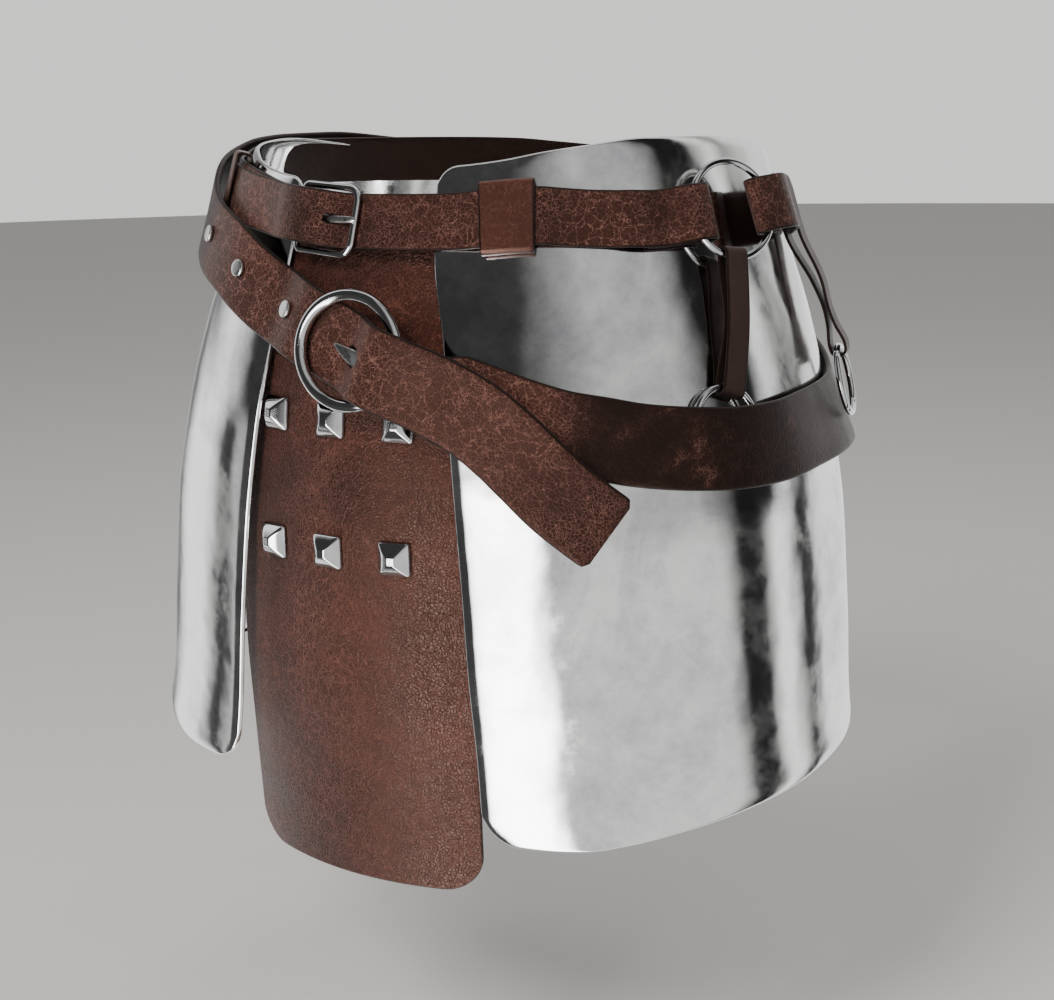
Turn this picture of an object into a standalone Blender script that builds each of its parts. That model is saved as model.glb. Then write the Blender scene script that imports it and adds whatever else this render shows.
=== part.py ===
"""Waist armour: two steel hip plates, a studded leather loin panel, a ringed waist belt and a slung belt.

The wearer faces -Y, with the left hand at +X and up at +Z. The origin is the middle of the waist, level
with the top of the front of the waist belt. The numbers below are millimetres and degrees. An angle is
measured round the body from the front, positive towards the wearer's left.
"""

import math

import bmesh
import bpy
from mathutils import Matrix, Vector

MM = 0.001


class Table:
    """Rows of numbers under named columns, read along a smooth curve through the rows."""

    def __init__(self, columns, rows):
        self.columns = columns
        self.rows = sorted(rows)

    def at(self, column, key):
        pick = self.columns.index(column)
        rows = self.rows
        if key <= rows[0][0]:
            return float(rows[0][pick])
        if key >= rows[-1][0]:
            return float(rows[-1][pick])
        low = max(k for k in range(len(rows) - 1) if rows[k][0] <= key)
        gap = rows[low + 1][0] - rows[low][0]
        t = (key - rows[low][0]) / gap
        start, end = self.slope(pick, low), self.slope(pick, low + 1)
        return (
            (2 * t**3 - 3 * t**2 + 1) * rows[low][pick]
            + (t**3 - 2 * t**2 + t) * gap * start
            + (3 * t**2 - 2 * t**3) * rows[low + 1][pick]
            + (t**3 - t**2) * gap * end
        )

    def slope(self, pick, row):
        """Slope of the curve at a row, flat where the column turns round so that it never overshoots."""
        if row in (0, len(self.rows) - 1):
            other = 1 if row == 0 else row - 1
            return self.step(pick, min(row, other))
        before, after = self.step(pick, row - 1), self.step(pick, row)
        if before * after <= 0:
            return 0.0
        return 2 * before * after / (before + after)

    def step(self, pick, row):
        first, second = self.rows[row], self.rows[row + 1]
        return (second[pick] - first[pick]) / (second[0] - first[0])


# Shape of the hips: the outer face of the steel plates, as if they met all round.
HIP = Table(
    ("height", "left_half", "right_half", "half_depth", "middle"),
    (
        (40, 157, 152, 138, 1),
        (0, 172, 168, 147, 0),
        (-50, 187, 183, 157, -2),
        (-100, 205, 202, 167, -5),
        (-160, 221, 220, 175, -8),
        (-220, 233, 234, 178, -10),
        (-290, 240, 243, 176, -13),
        (-350, 245, 250, 173, -16),
        (-410, 257, 264, 174, -19),
    ),
)
SQUARENESS = 2.35

# Hip plates
PLATE_SHEET = 1.6
PLATE_LIP = 3.0
PLATE_BEVEL = 8.0
PLATE_BEVEL_DROP = 1.4
PLATE_FRONT_GAP = Table(
    ("height", "left", "right"),
    (
        (0, 49, 50),
        (-50, 53.5, 56.5),
        (-100, 66.5, 64),
        (-160, 76, 72.5),
        (-230, 84, 82),
        (-300, 88.5, 91.5),
        (-400, 98, 103),
    ),
)
PLATE_BACK_GAP = Table(("height", "left", "right"), ((0, 24, 24), (-150, 34, 34), (-400, 60, 60)))
PLATE_TOP = Table(
    ("angle", "left", "right"),
    (
        (15, 1, -6),
        (25, 3, -4),
        (33, 5.5, -1),
        (42, 10, 4),
        (50, 13, 9.5),
        (64, 17, 14),
        (78, 17, 15.5),
        (95, 14, 11.8),
        (118, 4, 2.5),
        (130, -4, -4),
        (140, -9, -9),
        (160, -15, -15),
        (175, -18, -18),
    ),
)
PLATE_BOTTOM = Table(
    ("angle", "left", "right"),
    (
        (25, -396, -385),
        (40, -396.5, -387.5),
        (47, -395.5, -388.5),
        (54, -390.5, -386.5),
        (62, -383.5, -381),
        (75, -375, -374),
        (90, -370, -369),
        (118, -363, -363),
        (175, -358, -358),
    ),
)
PLATE_FRONT_CORNER = {"top": 15.0, "bottom": 24.0}
PLATE_BACK_CORNER = {"top": 12.0, "bottom": 24.0}
PLATE_BORDER = (0.0, 1.2, 3.2, 8.0)
PLATE_COLUMNS = 14
PLATE_ROWS = 7

# Leather loin panel and its studs
PANEL = Table(
    ("height", "front", "half_width"),
    (
        (-18, -146, 78),
        (-50, -153, 82),
        (-100, -166.5, 87),
        (-150, -175, 90),
        (-230, -183, 92),
        (-300, -183, 92),
        (-360, -180, 92),
        (-450, -175, 91),
    ),
)
PANEL_MIDDLE = -12.0
PANEL_BOW = 0.0025
PANEL_TOP = -18.0
PANEL_BOTTOM = -446.0
PANEL_CORNER = 26.0
PANEL_LEATHER = 3.0
STUD_SIDE = 21.0
STUD_TOP = 5.0
STUD_RISE = 8.0
STUD_PITCH = 47.0
STUD_ROWS = (-148.5, -228.5)

# Waist belt
BELT_WIDTH = 33.5
BELT_LEATHER = 2.5
WAIST_FRONT = Table(
    ("angle", "height", "turn"),
    (
        (-56, -15, 0),
        (-45, -18, 0),
        (-37, -21, 0),
        (-28, -24, 0),
        (-18, -28, 0),
        (-3, -31, 0),
        (12, -30.5, 0),
        (26, -29.5, 0),
        (40, -27, 0),
        (52, -29, 0),
        (62, -31, 0),
        (69, -30.4, -2.3),
        (84, -31, -2.3),
    ),
)
WAIST_REAR = Table(
    ("angle", "height", "turn"),
    (
        (78, -31.5, -3.5),
        (89, -32.4, -3.5),
        (104, -33.5, 0),
        (120, -30, 0),
        (145, -23, 0),
        (170, -15, 0),
        (185, -12, 0),
        (198, -9, 0),
        (210, -6, 0),
        (230, -4, 0),
        (257, -2.5, 0),
        (279, -2, 0),
        (293, -5.5, 0),
        (304, -11.5, 0),
        (315, -15, 0),
        (323, -19, 0),
        (332, -24, 0),
        (342, -28, 0),
        (357, -31, 0),
    ),
)
BELT_REST = 2.5
BELT_RAISED = 5.6
BUCKLE_ANGLE = -7.6
BUCKLE_LENGTH = 47.0
BUCKLE_HEIGHT = 44.0
BUCKLE_BAR = 4.2
BUCKLE_CORNER = 8.0
BUCKLE_HEEL_CORNER = 3.0
BUCKLE_OUT = 5.65
PRONG = 2.0
PRONG_WIDTH = 4.4
WAIST_TAIL_ANGLE = -50.0
KEEPER_LEATHER = 1.8
FRONT_KEEPER = {"angle": 35.0, "width": 31.0, "up": 21.5, "down": -21.5}
TAIL_KEEPER = {"angle": -46.0, "width": 11.0, "up": 25.5, "down": -21.0}

# Rings and the straps that hang them
RING_WIRE = 4.2
UPPER_RING_RADIUS = 28.8
LOWER_RING_RADIUS = 21.4
STRAP_WIDTH = 15.6
STRAP_LEATHER = 1.8
FRONT_STRAP = Table(("height", "angle", "turn"), ((0, 79.0, 14), (-60, 76.6, 12), (-150, 69.6, 0)))
REAR_STRAP = Table(("height", "angle", "turn"), ((0, 104, 0), (-60, 104.5, 0), (-160, 105, 0)))
UPPER_RING_ANGLE = 77.7
UPPER_RING_HEIGHT = -30.2
UPPER_RING_OUT = 12.6
UPPER_RING_TURN = 13.8
LOWER_RING_HEIGHT = -147.0
LOWER_RING_OUT = 4.9
REAR_RING_HEIGHT = -142.5
REAR_RING_OUT = 14.5
REAR_STRAP_BELT_OUT = 8.0
REAR_BEND = 4.75

# Slung belt
SLUNG_WIDTH = 48.0
SLUNG_LEATHER = 4.0
SLUNG = Table(
    ("angle", "height", "out", "turn"),
    (
        (-2, -99, 12.0, 3),
        (4, -106, 12.0, 3),
        (12, -114.5, 12.0, 3),
        (19, -121.2, 8.0, 3),
        (26, -127, 5.0, 0),
        (31, -132, 3.2, 0),
        (38, -140, 2.8, 0),
        (44, -146, 2.8, 0),
        (50, -150, 2.8, 0),
        (55, -154, 3.8, 0),
        (59, -156.5, 7.4, 0),
        (64, -159, 11.4, 0),
        (71, -161.5, 12.4, 0),
        (78, -162, 12.4, 0),
        (88, -161, 10.0, -3),
        (98, -161, 8.0, -8),
        (108, -160, 7.5, -10),
        (122, -148, 6.0, -6),
        (142, -124, 5.0, 0),
        (162, -96, 5.0, 0),
        (182, -68, 5.0, 0),
        (202, -42, 7.0, 0),
        (222, -24, 8.4, 0),
        (242, -14, 9.5, 0),
        (260, -9, 10.5, 0),
        (275, -9.5, 12.0, 0),
        (284, -11.5, 13.5, 0),
        (291, -16.5, 16.0, 0),
        (299, -24.5, 17.5, 0),
        (308, -38, 17.5, 0),
        (317, -49.5, 16.5, 0),
        (325, -58.5, 14.0, 0),
        (332, -69, 11.0, 0),
        (340, -80, 7.0, 0),
        (350, -90.5, 4.5, 1.5),
        (358, -99, 4.2, 2),
        (364, -106, 5.0, 3),
        (372, -114.5, 12.0, 3),
        (379, -122, 17.5, 2),
        (385, -130.5, 14.0, 0),
        (390, -139.5, 10.8, 0),
        (395, -153, 8.4, 0),
        (399, -166.5, 8.0, 0),
        (403, -181, 8.0, 0),
        (407, -193.5, 8.0, 0),
        (410.5, -204, 8.0, 0),
    ),
)
SLUNG_STEP = 17.0
SLUNG_TAB = 22.0
CLAW = 2.4
CLAW_TIP_ANGLE = 360.9
SLUNG_TAB_LEATHER = 2.4
BIG_RING_CENTRE = (12.3, -185.8, -103.0)
BIG_RING_AZIMUTH = 8.0
BIG_RING_LEAN = 8.0
BIG_RING_RADIUS = 32.8
BIG_RING_WIRE = 7.4
RIVET_ANGLES = (-43.6, -29.8, -13.8)
RIVET_RISE = 1.5


def signed_power(value, power):
    return math.copysign(abs(value) ** power, value)


def hip_point(angle, height, out=0.0):
    """A point of the hip shape at an angle in degrees, moved out along the face's normal."""
    turn = math.radians(angle)
    sine, cosine = math.sin(turn), math.cos(turn)
    half_width = HIP.at("left_half" if sine >= 0 else "right_half", height)
    half_depth = HIP.at("half_depth", height)
    reach = (abs(sine / half_width) ** SQUARENESS + abs(cosine / half_depth) ** SQUARENESS) ** (-1 / SQUARENESS)
    point = Vector((reach * sine, HIP.at("middle", height) - reach * cosine, height))
    return point + hip_normal(angle, height) * out if out else point


def hip_normal(angle, height):
    round_body = hip_point(angle + 0.1, height) - hip_point(angle - 0.1, height)
    up = hip_point(angle, height + 0.5) - hip_point(angle, height - 0.5)
    return round_body.cross(up).normalized()


def hip_angle(across, height, side, end):
    """The angle at which the hip shape lies a distance across from the middle, on one side, at the front or back."""
    low, high = (0.0, 90.0) if end == "front" else (180.0, 90.0)
    for _ in range(30):
        middle = (low + high) / 2
        if abs(hip_point(side * middle, height).x) < across:
            low = middle
        else:
            high = middle
    return low


class Track:
    """A line along the hip shape, measured in millimetres, with the directions along, out of and across it."""

    def __init__(self, spots):
        self.points = [hip_point(angle, height) for angle, height, _ in spots]
        self.spots = spots
        self.lengths = [0.0]
        for first, second in zip(self.points, self.points[1:]):
            self.lengths.append(self.lengths[-1] + (second - first).length)

    @classmethod
    def round_body(cls, table, start, end, step=0.5):
        count = int((end - start) / step)
        angles = [start + (end - start) * k / count for k in range(count + 1)]
        return cls([(angle, table.at("height", angle), table.at("turn", angle)) for angle in angles])

    @classmethod
    def down_body(cls, table, start, end, step=1.0):
        count = int((start - end) / step)
        heights = [start + (end - start) * k / count for k in range(count + 1)]
        return cls([(table.at("angle", height), height, table.at("turn", height)) for height in heights])

    def length(self):
        return self.lengths[-1]

    def frame(self, run):
        """Point, direction along, direction out and direction across at a distance along the track."""
        last = len(self.lengths) - 2
        k = max(i for i in range(last + 1) if i == 0 or self.lengths[i] <= run)
        t = (run - self.lengths[k]) / (self.lengths[k + 1] - self.lengths[k])
        point = self.points[k].lerp(self.points[k + 1], t)
        before = self.points[max(k - 3, 0)]
        after = self.points[min(k + 4, last + 1)]
        along = (after - before).normalized()
        angle, height, turn = (a + (b - a) * t for a, b in zip(self.spots[k], self.spots[k + 1]))
        out = hip_normal(angle, height)
        out = (out - along * out.dot(along)).normalized()
        out = Matrix.Rotation(math.radians(turn), 3, along) @ out
        return point, along, out, out.cross(along)

    def place(self, run, out, across=0.0):
        point, _, outward, sideways = self.frame(run)
        return point + outward * out + sideways * across

    def run_at(self, angle):
        """Distance along the track at which it passes an angle."""
        spots = self.spots
        for k in range(len(spots) - 1):
            low, high = sorted((spots[k][0], spots[k + 1][0]))
            if low <= angle <= high:
                t = (angle - spots[k][0]) / (spots[k + 1][0] - spots[k][0])
                return self.lengths[k] + t * (self.lengths[k + 1] - self.lengths[k])
        raise ValueError("the track doesn't pass %g degrees" % angle)

    def locate(self, point, stretch=(0.0, 1e6)):
        """Distance along the track, and out of it, of a point in space, in a stretch of the track."""
        low, high = stretch
        stretch = [k for k in range(len(self.points)) if low <= self.lengths[k] <= high]
        nearest = min(stretch, key=lambda k: (self.points[k] - point).length)
        run = self.lengths[nearest]
        for _ in range(4):
            spot, along, out, _ = self.frame(min(max(run, 0.0), self.length()))
            run += (point - spot).dot(along)
        return run, (point - spot).dot(out)


def arc(run, out, radius, start, end, steps):
    """Points of an arc in the plane along and out of a track, with angles from the run direction."""
    turns = [math.radians(start + (end - start) * k / steps) for k in range(steps + 1)]
    return [(run + radius * math.cos(turn), out + radius * math.sin(turn)) for turn in turns]


def turned(points, run, out, tilt):
    """Points given beside a bar, turned to lie along its ring and moved to it. tilt is in radians."""
    cosine, sine = math.cos(tilt), math.sin(tilt)
    return [(run + u * cosine - v * sine, out + u * sine + v * cosine) for u, v in points]


def tilt_of(track, run, direction):
    """Slope of a direction against the track at a distance along it, in radians."""
    _, along, out, _ = track.frame(run)
    return math.atan2(direction.dot(out), direction.dot(along))


def smooth_between(points, step):
    """Points every step or so along straight runs between the given ones, keeping the given ones."""
    path = [points[0]]
    for first, second in zip(points, points[1:]):
        count = max(1, round(math.dist(first, second) / step))
        for k in range(1, count + 1):
            t = k / count
            path.append((first[0] + (second[0] - first[0]) * t, first[1] + (second[1] - first[1]) * t))
    return path


def eased(start, end, steps):
    """An S-shaped change from one (run, out) to another."""
    path = []
    for k in range(steps + 1):
        t = k / steps
        ease = t * t * (3 - 2 * t)
        path.append((start[0] + (end[0] - start[0]) * t, start[1] + (end[1] - start[1]) * ease))
    return path


def tidy(path, least=0.4):
    """The path without points that nearly repeat the one before."""
    kept = [path[0]]
    for spot in path[1:]:
        if math.dist(spot[:2], kept[-1][:2]) > least:
            kept.append(spot)
    return kept


def material(name, colour, roughness, metallic):
    made = bpy.data.materials.new(name)
    made.use_nodes = True
    shader = made.node_tree.nodes["Principled BSDF"]
    shader.inputs["Base Color"].default_value = (*colour, 1.0)
    shader.inputs["Roughness"].default_value = roughness
    shader.inputs["Metallic"].default_value = metallic
    return made


def add_object(name, points, faces, finish, sharp=40.0):
    """A mesh object from points in millimetres, with its origin at the body's origin."""
    mesh = bpy.data.meshes.new(name)
    mesh.from_pydata([tuple(Vector(point) * MM) for point in points], [], faces)
    work = bmesh.new()
    work.from_mesh(mesh)
    bmesh.ops.recalc_face_normals(work, faces=work.faces)
    work.to_mesh(mesh)
    work.free()
    mesh.shade_smooth()
    mesh.set_sharp_from_angle(angle=math.radians(sharp))
    mesh.materials.append(finish)
    made = bpy.data.objects.new(name, mesh)
    bpy.context.scene.collection.objects.link(made)
    return made


def loft(name, rings, finish, closed=False, sharp=40.0):
    """A solid through rings of points, all with the same number of points, capped unless it closes on itself."""
    size = len(rings[0])
    points = [point for ring in rings for point in ring]
    faces = []
    joins = len(rings) if closed else len(rings) - 1
    for k in range(joins):
        here, there = k * size, (k + 1) % len(rings) * size
        for i in range(size):
            j = (i + 1) % size
            faces.append((here + i, here + j, there + j, there + i))
    if not closed:
        faces.append(tuple(range(size))[::-1])
        faces.append(tuple((len(rings) - 1) * size + i for i in range(size)))
    return add_object(name, points, faces, finish, sharp)


def strip_section(half_width, thickness, soft=0.3):
    """Corners of a leather strip's section as (across, out), with the edges taken off."""
    cut = thickness * soft
    half = thickness / 2
    return [
        (-half_width + cut, -half),
        (half_width - cut, -half),
        (half_width, -half + cut),
        (half_width, half - cut),
        (half_width - cut, half),
        (-half_width + cut, half),
        (-half_width, half - cut),
        (-half_width, -half + cut),
    ]


def strip(name, track, path, finish, width, thickness, closed=False):
    """A leather strip that follows (run, out) points over a track. width and thickness are numbers or functions
    of the point's place in the path, from 0 to 1."""
    placed = [track.place(run, out) for run, out in path]
    rings = []
    for k, (run, _) in enumerate(path):
        if closed:
            before, after = placed[k - 1], placed[(k + 1) % len(path)]
        else:
            before, after = placed[max(k - 1, 0)], placed[min(k + 1, len(path) - 1)]
        heading = (after - before).normalized()
        across = track.frame(run)[3]
        across = (across - heading * across.dot(heading)).normalized()
        out = across.cross(heading)
        share = k / (len(path) - 1)
        half = (width(share, k) if callable(width) else width) / 2
        thick = thickness(share, k) if callable(thickness) else thickness
        rings.append([placed[k] + across * a + out * b for a, b in strip_section(half, thick)])
    return loft(name, rings, finish, closed)


def on_strip(track, path, run, start=0):
    """Middle, outward and crosswise directions of a strip where its path first passes a distance, after a start."""
    after = next(k for k in range(start + 1, len(path)) if min(path[k - 1][0], path[k][0]) <= run <= max(path[k - 1][0], path[k][0]))
    (run_a, out_a), (run_b, out_b) = path[after - 1], path[after]
    low, high = track.place(run_a, out_a), track.place(run_b, out_b)
    centre = low.lerp(high, (run - run_a) / (run_b - run_a))
    along = track.frame(run)[1]
    heading = (high - low).normalized()
    heading = heading if heading.dot(along) > 0 else -heading
    across = track.frame(run)[3]
    across = (across - heading * across.dot(heading)).normalized()
    return centre, heading.cross(across), across


def rounded_end(path, width, corner, at_end=True):
    """A width for each point of a path whose end has rounded corners."""
    runs = [0.0]
    for first, second in zip(path, path[1:]):
        runs.append(runs[-1] + math.dist(first, second))

    def width_at(_, k):
        left = runs[-1] - runs[k] if at_end else runs[k]
        if left >= corner:
            return width
        return width - 2 * corner + 2 * math.sqrt(max(corner**2 - (corner - left) ** 2, 0.0))

    return width_at


def torus(name, centre, along, across, radius, wire, finish, around=24, sides=8):
    """A wire ring whose plane holds the directions along and across."""
    out = along.cross(across).normalized()
    rings = []
    for k in range(around):
        turn = math.tau * k / around
        spoke = along * math.cos(turn) + across * math.sin(turn)
        ring = []
        for i in range(sides):
            roll = math.tau * i / sides
            ring.append(centre + spoke * (radius + wire / 2 * math.cos(roll)) + out * wire / 2 * math.sin(roll))
        rings.append(ring)
    return loft(name, rings, finish, closed=True, sharp=60.0)


def shell(name, columns, rows, outer, inner, finish):
    """A closed sheet from a grid of outer points and a grid of inner points, both functions of (column, row)."""
    points = [outer(c, r) for r in range(rows) for c in range(columns)]
    points += [inner(c, r) for r in range(rows) for c in range(columns)]
    back = rows * columns

    def index(c, r):
        return r * columns + c

    faces = []
    for r in range(rows - 1):
        for c in range(columns - 1):
            corners = (index(c, r), index(c + 1, r), index(c + 1, r + 1), index(c, r + 1))
            faces.append(corners)
            faces.append(tuple(back + corner for corner in corners[::-1]))
    rim = [index(c, 0) for c in range(columns)]
    rim += [index(columns - 1, r) for r in range(1, rows)]
    rim += [index(c, rows - 1) for c in range(columns - 2, -1, -1)]
    rim += [index(0, r) for r in range(rows - 2, 0, -1)]
    for first, second in zip(rim, rim[1:] + rim[:1]):
        faces.append((first, second, back + second, back + first))
    return add_object(name, points, faces, finish)


def border_steps(whole, corner, columns):
    """Distances from one edge of a sheet to the other, close together in each border."""
    ends = sorted(set(PLATE_BORDER) | ({corner * 0.55, corner} if corner > PLATE_BEVEL else set()))
    inner = [ends[-1] + (whole - 2 * ends[-1]) * k / columns for k in range(1, columns)]
    return ends + inner + [whole - end for end in reversed(ends)]


def corner_lift(distance, radius):
    """How far a rounded corner lifts an edge, at a distance from the edge beside it."""
    if distance >= radius:
        return 0.0
    return radius - math.sqrt(radius**2 - (radius - distance) ** 2)


def hip_plate(name, side, hand, finish):
    """A steel plate from the front gap round the hip to the back gap, with bevelled and turned edges."""
    reach = 470.0
    across = border_steps(reach, PLATE_FRONT_CORNER["bottom"], PLATE_COLUMNS)
    tall = border_steps(400.0, PLATE_BEVEL, PLATE_ROWS)

    def spot(c, r):
        """Angle, height and distance from the nearest edge at a grid point."""
        share = across[c] / reach
        fall = tall[r] / 400.0
        height = -15.0 - 370.0 * fall
        for _ in range(3):
            front = hip_angle(PLATE_FRONT_GAP.at(hand, height), height, side, "front")
            back = hip_angle(PLATE_BACK_GAP.at(hand, height), height, side, "back")
            angle = front + (back - front) * share
            top = PLATE_TOP.at(hand, angle)
            bottom = PLATE_BOTTOM.at(hand, angle)
            top -= corner_lift(across[c], PLATE_FRONT_CORNER["top"])
            top -= corner_lift(reach - across[c], PLATE_BACK_CORNER["top"])
            bottom += corner_lift(across[c], PLATE_FRONT_CORNER["bottom"])
            bottom += corner_lift(reach - across[c], PLATE_BACK_CORNER["bottom"])
            height = top + (bottom - top) * fall
        edge = min(across[c], reach - across[c], tall[r], 400.0 - tall[r])
        return side * angle, height, edge

    spots = {(c, r): spot(c, r) for c in range(len(across)) for r in range(len(tall))}

    def outer(c, r):
        angle, height, edge = spots[c, r]
        drop = PLATE_BEVEL_DROP * max(0.0, 1 - edge / PLATE_BEVEL) ** 2
        return hip_point(angle, height, -drop)

    def inner(c, r):
        angle, height, edge = spots[c, r]
        drop = PLATE_BEVEL_DROP * max(0.0, 1 - edge / PLATE_BEVEL) ** 2
        lip = PLATE_LIP if edge < 3.0 else PLATE_SHEET
        return hip_point(angle, height, -drop - lip)

    return shell(name, len(across), len(tall), outer, inner, finish)


def panel_front(across, height):
    """A point on the front face of the loin panel, by its distance from the panel's middle line."""
    return Vector((PANEL_MIDDLE + across, PANEL.at("front", height) + PANEL_BOW * across**2, height))


def panel_frame(across, height):
    """Directions across, up and out of the panel's front face at a point."""
    sideways = (panel_front(across + 0.5, height) - panel_front(across - 0.5, height)).normalized()
    up = (panel_front(across, height + 0.5) - panel_front(across, height - 0.5)).normalized()
    return sideways, up, sideways.cross(up).normalized()


def loin_panel(finish):
    columns, rows = 11, 14
    heights = [PANEL_TOP + (PANEL_BOTTOM - PANEL_TOP) * r / (rows - 1) for r in range(rows)]

    def place(c, r, depth):
        share = 2 * c / (columns - 1) - 1
        share = math.sin(share * math.pi / 2) * 0.5 + share * 0.5
        half_width = PANEL.at("half_width", heights[r])
        across = share * half_width
        fall = (heights[r] - PANEL_TOP) / (PANEL_BOTTOM - PANEL_TOP)
        height = heights[r] + corner_lift(half_width - abs(across), PANEL_CORNER) * fall**3
        return panel_front(across, height) - panel_frame(across, height)[2] * depth

    return shell(
        "loin_panel",
        columns,
        rows,
        lambda c, r: place(c, r, 0.0),
        lambda c, r: place(c, r, PANEL_LEATHER),
        finish,
    )


def pyramid_stud(name, across, height, finish):
    """A four-sided stud with a short upright foot and a small flat top, seated on the panel."""
    centre = panel_front(across, height)
    sideways, up, out = panel_frame(across, height)
    bow = PANEL_BOW * (STUD_SIDE / 2) ** 2
    seat = centre + out * (0.4 + bow * 0.1)
    rings = []
    for side, rise in ((STUD_SIDE, 0.0), (STUD_SIDE, 1.4), (STUD_TOP, STUD_RISE)):
        half = side / 2
        corners = ((-half, -half), (half, -half), (half, half), (-half, half))
        rings.append([seat + sideways * a + up * b + out * rise for a, b in corners])
    return loft(name, rings, finish, sharp=20.0)


def fold_radius(bar, leather):
    """Middle radius of a strap's bend round a bar, with room to turn."""
    return bar / 2 + 0.5 + leather / 2


def waist_belt_front(track, ring, tongue, heel, finish):
    """The tongue half of the waist belt, from its fold on the ring, through the buckle, to its tail."""
    run, out, tilt = ring
    bend = fold_radius(RING_WIRE, BELT_LEATHER) + 0.65
    path = eased((run - 36, BELT_REST + 0.7), (run - 22, BELT_REST + 0.7), 1)
    path += turned([(-9.0, -bend)] + arc(0, 0, bend, -90, 90, 8) + [(-9.0, bend)], run, out, tilt)
    path += eased((run - 24, BELT_RAISED + 0.9), (run - 38, BELT_RAISED + 0.9), 1)
    path += eased((run - 42, BELT_RAISED + 0.6), (run - 58, BELT_REST), 3)
    keeper = track.run_at(FRONT_KEEPER["angle"])
    path += eased((keeper + 32, BELT_REST), (keeper + 18, BELT_RAISED), 3)
    path += eased((keeper - 18, BELT_RAISED), (keeper - 32, BELT_REST), 3)
    under = tongue[1] - BUCKLE_BAR / 2 - 0.5 - BELT_LEATHER / 2
    over = heel[1] + fold_radius(BUCKLE_BAR, BELT_LEATHER) + BELT_LEATHER + 0.7
    path += [(tongue[0] + 8, under), (tongue[0] + 1, under)]
    path += eased((tongue[0] - 5, under + 0.4), (tongue[0] - 22, over), 8)
    path += eased((heel[0] - 6, over + 0.3), (heel[0] - 22, BELT_RAISED + BELT_LEATHER + 0.9), 4)
    tail = track.run_at(WAIST_TAIL_ANGLE)
    path += [(tail + k, BELT_RAISED + BELT_LEATHER + 0.5) for k in (7.0, 4.5, 2.5, 1.0, 0.2)]
    path = tidy(smooth_between(path, 12.0))
    width = rounded_end(path, BELT_WIDTH, 7.0)
    return strip("waist_belt_front", track, path, finish, width, BELT_LEATHER), path


def waist_belt_rear(track, ring, heel, finish):
    """The buckle half of the waist belt, from its fold on the ring, round the back, to its fold on the buckle."""
    run, out, tilt = ring
    bend = fold_radius(RING_WIRE, BELT_LEATHER) + 0.55
    strap = track.run_at(REAR_STRAP.rows[0][1])
    fold = [(12.0, -bend), (7.0, -bend)] + arc(0, 0, bend, -90, -270, 8) + [(8.0, bend + 0.7), (13.0, bend + 0.9)]
    path = turned(fold, run, out, tilt)
    path += [(strap - 13, REAR_STRAP_BELT_OUT + 1.5), (strap, REAR_STRAP_BELT_OUT)]
    path += eased((strap + 13, REAR_STRAP_BELT_OUT - 1.5), (strap + 60, BELT_REST), 4)
    keeper = track.run_at(360 + TAIL_KEEPER["angle"])
    path += eased((keeper - 50, BELT_REST), (keeper - 12, BELT_RAISED), 3)
    heel_bend = fold_radius(BUCKLE_BAR, BELT_LEATHER) + 0.2
    path += eased((heel[0] - 18, BELT_RAISED), (heel[0] - 7, heel[1] + heel_bend), 3)
    path += turned(arc(0, 0, heel_bend, 90, -90, 8), *heel)
    path += [(heel[0] - 7, heel[1] - heel_bend), (heel[0] - 28, BELT_REST - 0.3)]
    path = tidy(smooth_between(path, 18.0))
    return strip("waist_belt_rear", track, path, finish, BELT_WIDTH, BELT_LEATHER)


def keeper(name, track, spec, low, high, finish):
    """A leather loop across the belt, round a stack of layers that lies between two heights off the plate."""
    run = track.run_at(spec["angle"])
    half = KEEPER_LEATHER / 2
    inner, outer = low - 0.3 - half, high + 0.3 + half
    up, down = spec["up"] - half, spec["down"] + half
    radius = min((outer - inner) / 2, 2.6)
    path = []
    corners = (
        (up - radius, outer - radius, 90, 0),
        (up - radius, inner + radius, 0, -90),
        (down + radius, inner + radius, -90, -180),
        (down + radius, outer - radius, 180, 90),
    )
    for across, out, start, end in corners:
        path += arc(across, out, radius, start, end, 3)
    path = tidy(path + path[:1])
    path = path[:-1] if math.dist(path[0], path[-1]) < 0.5 else path
    section = strip_section(spec["width"] / 2, KEEPER_LEATHER)
    section = section[:1] + [(0.0, -half)] + section[1:5] + [(0.0, half)] + section[5:]
    rings = []
    for k, (across, out) in enumerate(path):
        before, after = path[k - 1], path[(k + 1) % len(path)]
        heading = Vector((after[0] - before[0], after[1] - before[1])).normalized()
        ring = []
        for side, rise in section:
            ring.append(track.place(run + side, out + heading.x * rise, across - heading.y * rise))
        rings.append(ring)
    return loft(name, rings, finish, closed=True)


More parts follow.
